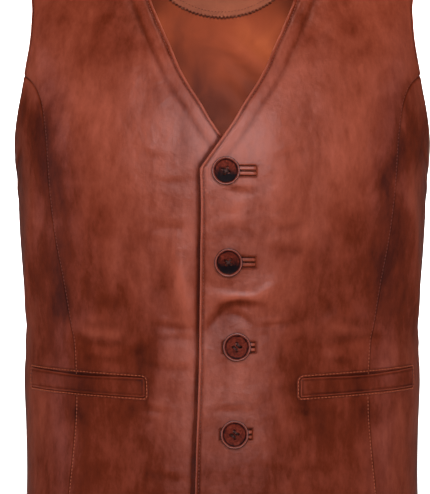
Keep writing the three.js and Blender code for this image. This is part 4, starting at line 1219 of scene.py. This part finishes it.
def stitchTree():
    tree = bpy.data.node_groups.new("stitches", "GeometryNodeTree")
    for name, kind in (("Geometry", "Geometry"), ("Stitch", "Object"), ("Thickness", "Float"),
                       ("Unevenness", "Float"), ("Seed", "Int"), ("Material", "Material")):
        tree.interface.new_socket(name, in_out="INPUT", socket_type="NodeSocket" + kind)
    tree.interface.new_socket("Geometry", in_out="OUTPUT", socket_type="NodeSocketGeometry")
    source = setNode(tree, "NodeGroupInput").outputs
    along, out = (setNode(tree, "GeometryNodeInputNamedAttribute", data_type="FLOAT_VECTOR", in_Name=name)
                  for name in ("along", "out"))
    turned = setNode(tree, "FunctionNodeAxesToRotation", along, out, primary_axis="X", secondary_axis="Z")
    spread = setNode(tree, "FunctionNodeRandomValue", data_type="FLOAT", in_Seed=source["Seed"])
    tree.links.new(source["Unevenness"], spread.inputs[3])  # the upper end of a plain number
    size = setNode(tree, "ShaderNodeMath", source["Thickness"], spread.outputs[1], operation="ADD")
    model = setNode(tree, "GeometryNodeObjectInfo", in_Object=source["Stitch"])
    placed = setNode(tree, "GeometryNodeInstanceOnPoints", in_Points=source["Geometry"],
                     in_Instance=model.outputs["Geometry"], in_Rotation=turned, in_Scale=size)
    real = setNode(tree, "GeometryNodeRealizeInstances", placed)
    painted = setNode(tree, "GeometryNodeSetMaterial", in_Geometry=real, in_Material=source["Material"])
    setNode(tree, "NodeGroupOutput", painted)
    return tree


stitchModel, stitches = stitchMesh(), stitchTree()


def stitchSpots(path, kind, isOver=False, offset=0.0):
    # even spots along a path of places, each with the way it runs and the way out
    points = clothPoints(path, kind, isOver, offset)
    along = lengthsAlong(points)
    count = int(along[-1] / stitching["pitch"])
    at = (np.arange(count) + 0.5) * along[-1] / count
    where = readPath(path, along, at)
    ahead = unit(readPath(points, along, at + 0.8) - readPath(points, along, at - 0.8))
    return clothPoints(where, kind, isOver, offset), ahead, formNormal(where)


def addStitches(name, groups, material):
    spots, ahead, out = (np.concatenate(part) for part in zip(*groups))
    obj = newObject(name, spots, [], [])
    for label, vectors in (("along", ahead), ("out", out)):
        obj.data.attributes.new(label, "FLOAT_VECTOR", "POINT").data.foreach_set("vector", vectors.ravel())
    modifier = obj.modifiers.new("stitches", "NODES")
    modifier.node_group = stitches
    values = {"Stitch": stitchModel, "Thickness": stitching["thickness"],
              "Unevenness": stitching["unevenness"], "Seed": stitching["seed"], "Material": material}
    for item in stitches.interface.items_tree:
        if item.name in values:
            modifier[item.identifier] = values[item.name]
    return applyModifiers(obj)


def stitchGroups(kind, paths, isRight, isOver=False):
    return [stitchSpots(mirrored(path, kind) if isRight else path, kind, isOver) for path in paths]


def pocketStitches(isRight):
    loop = roundedLoop(stitching["pitch"])
    points, normal, height = clothAt(pocketPlaces(loop[:, 0], loop[:, 1], isRight), not isRight)
    spots = points + normal * (height + pocket["gap"] + pocket["rimHeight"] - 0.2)[:, None]
    return [(spots, unit(np.gradient(spots, axis=0)), normal)]


def facingStitches():
    turn = np.linspace(moon["stitchEnds"], math.pi - moon["stitchEnds"], 200)
    reach = moon["radius"] - moon["stitchIn"]
    path = placeAcross(reach * np.cos(turn), moon["centreDrop"] + reach * np.sin(turn), isBack=True)
    spots, ahead, out = stitchSpots(path, "back", offset=moon["levels"][1])
    return [(spots, ahead, -out)]


stitchPieces = []
for label, isRight in (("left", False), ("right", True)):
    for place, groups, thread in (
            ("pocket", pocketStitches(isRight), rubbedThread),
            ("seam", stitchGroups("front", [seamStitches], isRight, not isRight), rubbedThread),
            ("front", stitchGroups("front", stitchLines["front"], isRight, not isRight), dyedThread),
            ("side", stitchGroups("side", stitchLines["side"], isRight), dyedThread)):
        stitchPieces.append(addStitches(f"stitches_{place}_{label}", groups, thread))
backGroups = [stitchGroups("back", stitchLines["back"], isRight) for isRight in (False, True)]
stitchPieces += [addStitches("stitches_back", sum(backGroups, []), dyedThread),
                 addStitches("stitches_facing", facingStitches(), dyedThread)]
bpy.data.objects.remove(stitchModel)
print("stitches", sum(len(obj.data.polygons) for obj in stitchPieces), "faces")

# Each piece hangs from the root body, in place of the solid it shows
shown = [(frontLeft, "leather", "front_left"), (frontRight, "leather", "front_right"),
         (sideLeft, "leather", "side_left"), (sideRight, "leather", "side_right"), (back, "leather", "back"),
         (liningShell, "lining", "back_lining"), (neckFacing, "facing", "neck_facing"),
         (weltLeft, "leather_trim", "pocket_welt_left"), (weltRight, "leather_trim", "pocket_welt_right"),
         (rimLeft, "leather", "pocket_rim_left"), (rimRight, "leather", "pocket_rim_right")] + fastened
for obj, slotName, node in shown:
    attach(obj, "root")
    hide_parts(node)
for obj in stitchPieces:
    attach(obj, "root")


# Studio, in m: a curved paper backdrop, a broad key, and washes for the paper
studio = dict(camera=(-0.0066, -2.51, -0.302), lens=198.8, floor=-0.64, wallAt=8.0, wallBend=1.0, wallTop=6.0,
              nearEnd=-6.0, halfWidth=9.0, worldLight=0.1)
warmWhite, coolWhite, lampWhite, white = "#fff4fb", "#efe8ff", "#fff0e0", "#ffffff"
wallPaint = plainMaterial("backdrop_paper", "#f4f4f4", 0.9)  # matt paper: a plain white with no shine


def addBackdrop():
    wall, bend = studio["wallAt"], studio["wallBend"]
    profile = [(studio["nearEnd"], 0.0), (wall - bend, 0.0)]
    for a in np.linspace(0, 90, 12) * degree:
        profile.append((wall + bend * (math.sin(a) - 1), bend * (1 - math.cos(a))))
    profile.append((wall, studio["wallTop"]))
    vertices = [(side * studio["halfWidth"], y, z + studio["floor"]) for y, z in profile for side in (-1, 1)]
    faces = [[2 * i, 2 * i + 1, 2 * i + 3, 2 * i + 2] for i in range(len(profile) - 1)]
    obj = newObject("backdrop", np.array(vertices) / mm, faces, [wallPaint])
    obj.visible_glossy = False  # the paper lights the scene but leaves no haze on the leather


def addLight(name, at, target, power, colour, size=(), **settings):
    # a soft rectangle of light where a size is given, else a spot
    light = bpy.data.lights.new(name, "AREA" if size else "SPOT")
    light.energy, light.color = power, linear(colour)[:3]
    if size:
        settings = dict(shape="RECTANGLE", size=size[0], size_y=size[1])
    for key, value in settings.items():
        setattr(light, key, value)
    obj = bpy.data.objects.new(name, light)
    obj.visible_camera = False
    obj.location = at
    obj.rotation_mode = "QUATERNION"
    obj.rotation_quaternion = (Vector(target) - Vector(at)).to_track_quat("-Z", "Y")
    bpy.context.scene.collection.objects.link(obj)


addBackdrop()
addLight("key_front", (0.08, -2.95, 0.5), (0, 0, -0.27), 47, warmWhite, (1.5, 1.3))
addLight("top_soft", (0.1, -1.6, 1.9), (0, 0, -0.3), 2, warmWhite, (0.9, 0.5))
addLight("side_left", (-1.8, -0.55, -0.4), (-0.1, 0, -0.4), 7, coolWhite, (0.6, 1.3))
addLight("side_right", (1.8, -0.55, -0.3), (0.1, 0, -0.3), 4, coolWhite, (0.6, 1.3))
addLight("inside_fill", (0.0, -0.9, 1.2), (0.01, 0.08, -0.05), 330, lampWhite,
         spot_size=7.4 * degree, spot_blend=0.5, shadow_soft_size=0.15)
addLight("backdrop_wash", (0, 5.8, 3.6), (0, 8.0, -0.2), 900, white, (4.0, 1.2))
addLight("floor_wash", (0, 3.6, 3.4), (0, 3.4, -0.64), 210, white, (3.0, 3.0))
print("studio lit")

world = bpy.data.worlds.new("studio")
bpy.context.scene.world = world
world.use_nodes = True
setNode(world.node_tree, world.node_tree.nodes["Background"], linear(white), studio["worldLight"])
bpy.context.scene.view_settings.view_transform = "Standard"

camera = bpy.data.cameras.new("camera")
camera.lens, camera.sensor_width = studio["lens"], 36
cameraObject = bpy.data.objects.new("camera", camera)
cameraObject.location = studio["camera"]
cameraObject.rotation_euler = (math.pi / 2, 0, 0)
bpy.context.scene.collection.objects.link(cameraObject)
bpy.context.scene.camera = cameraObject
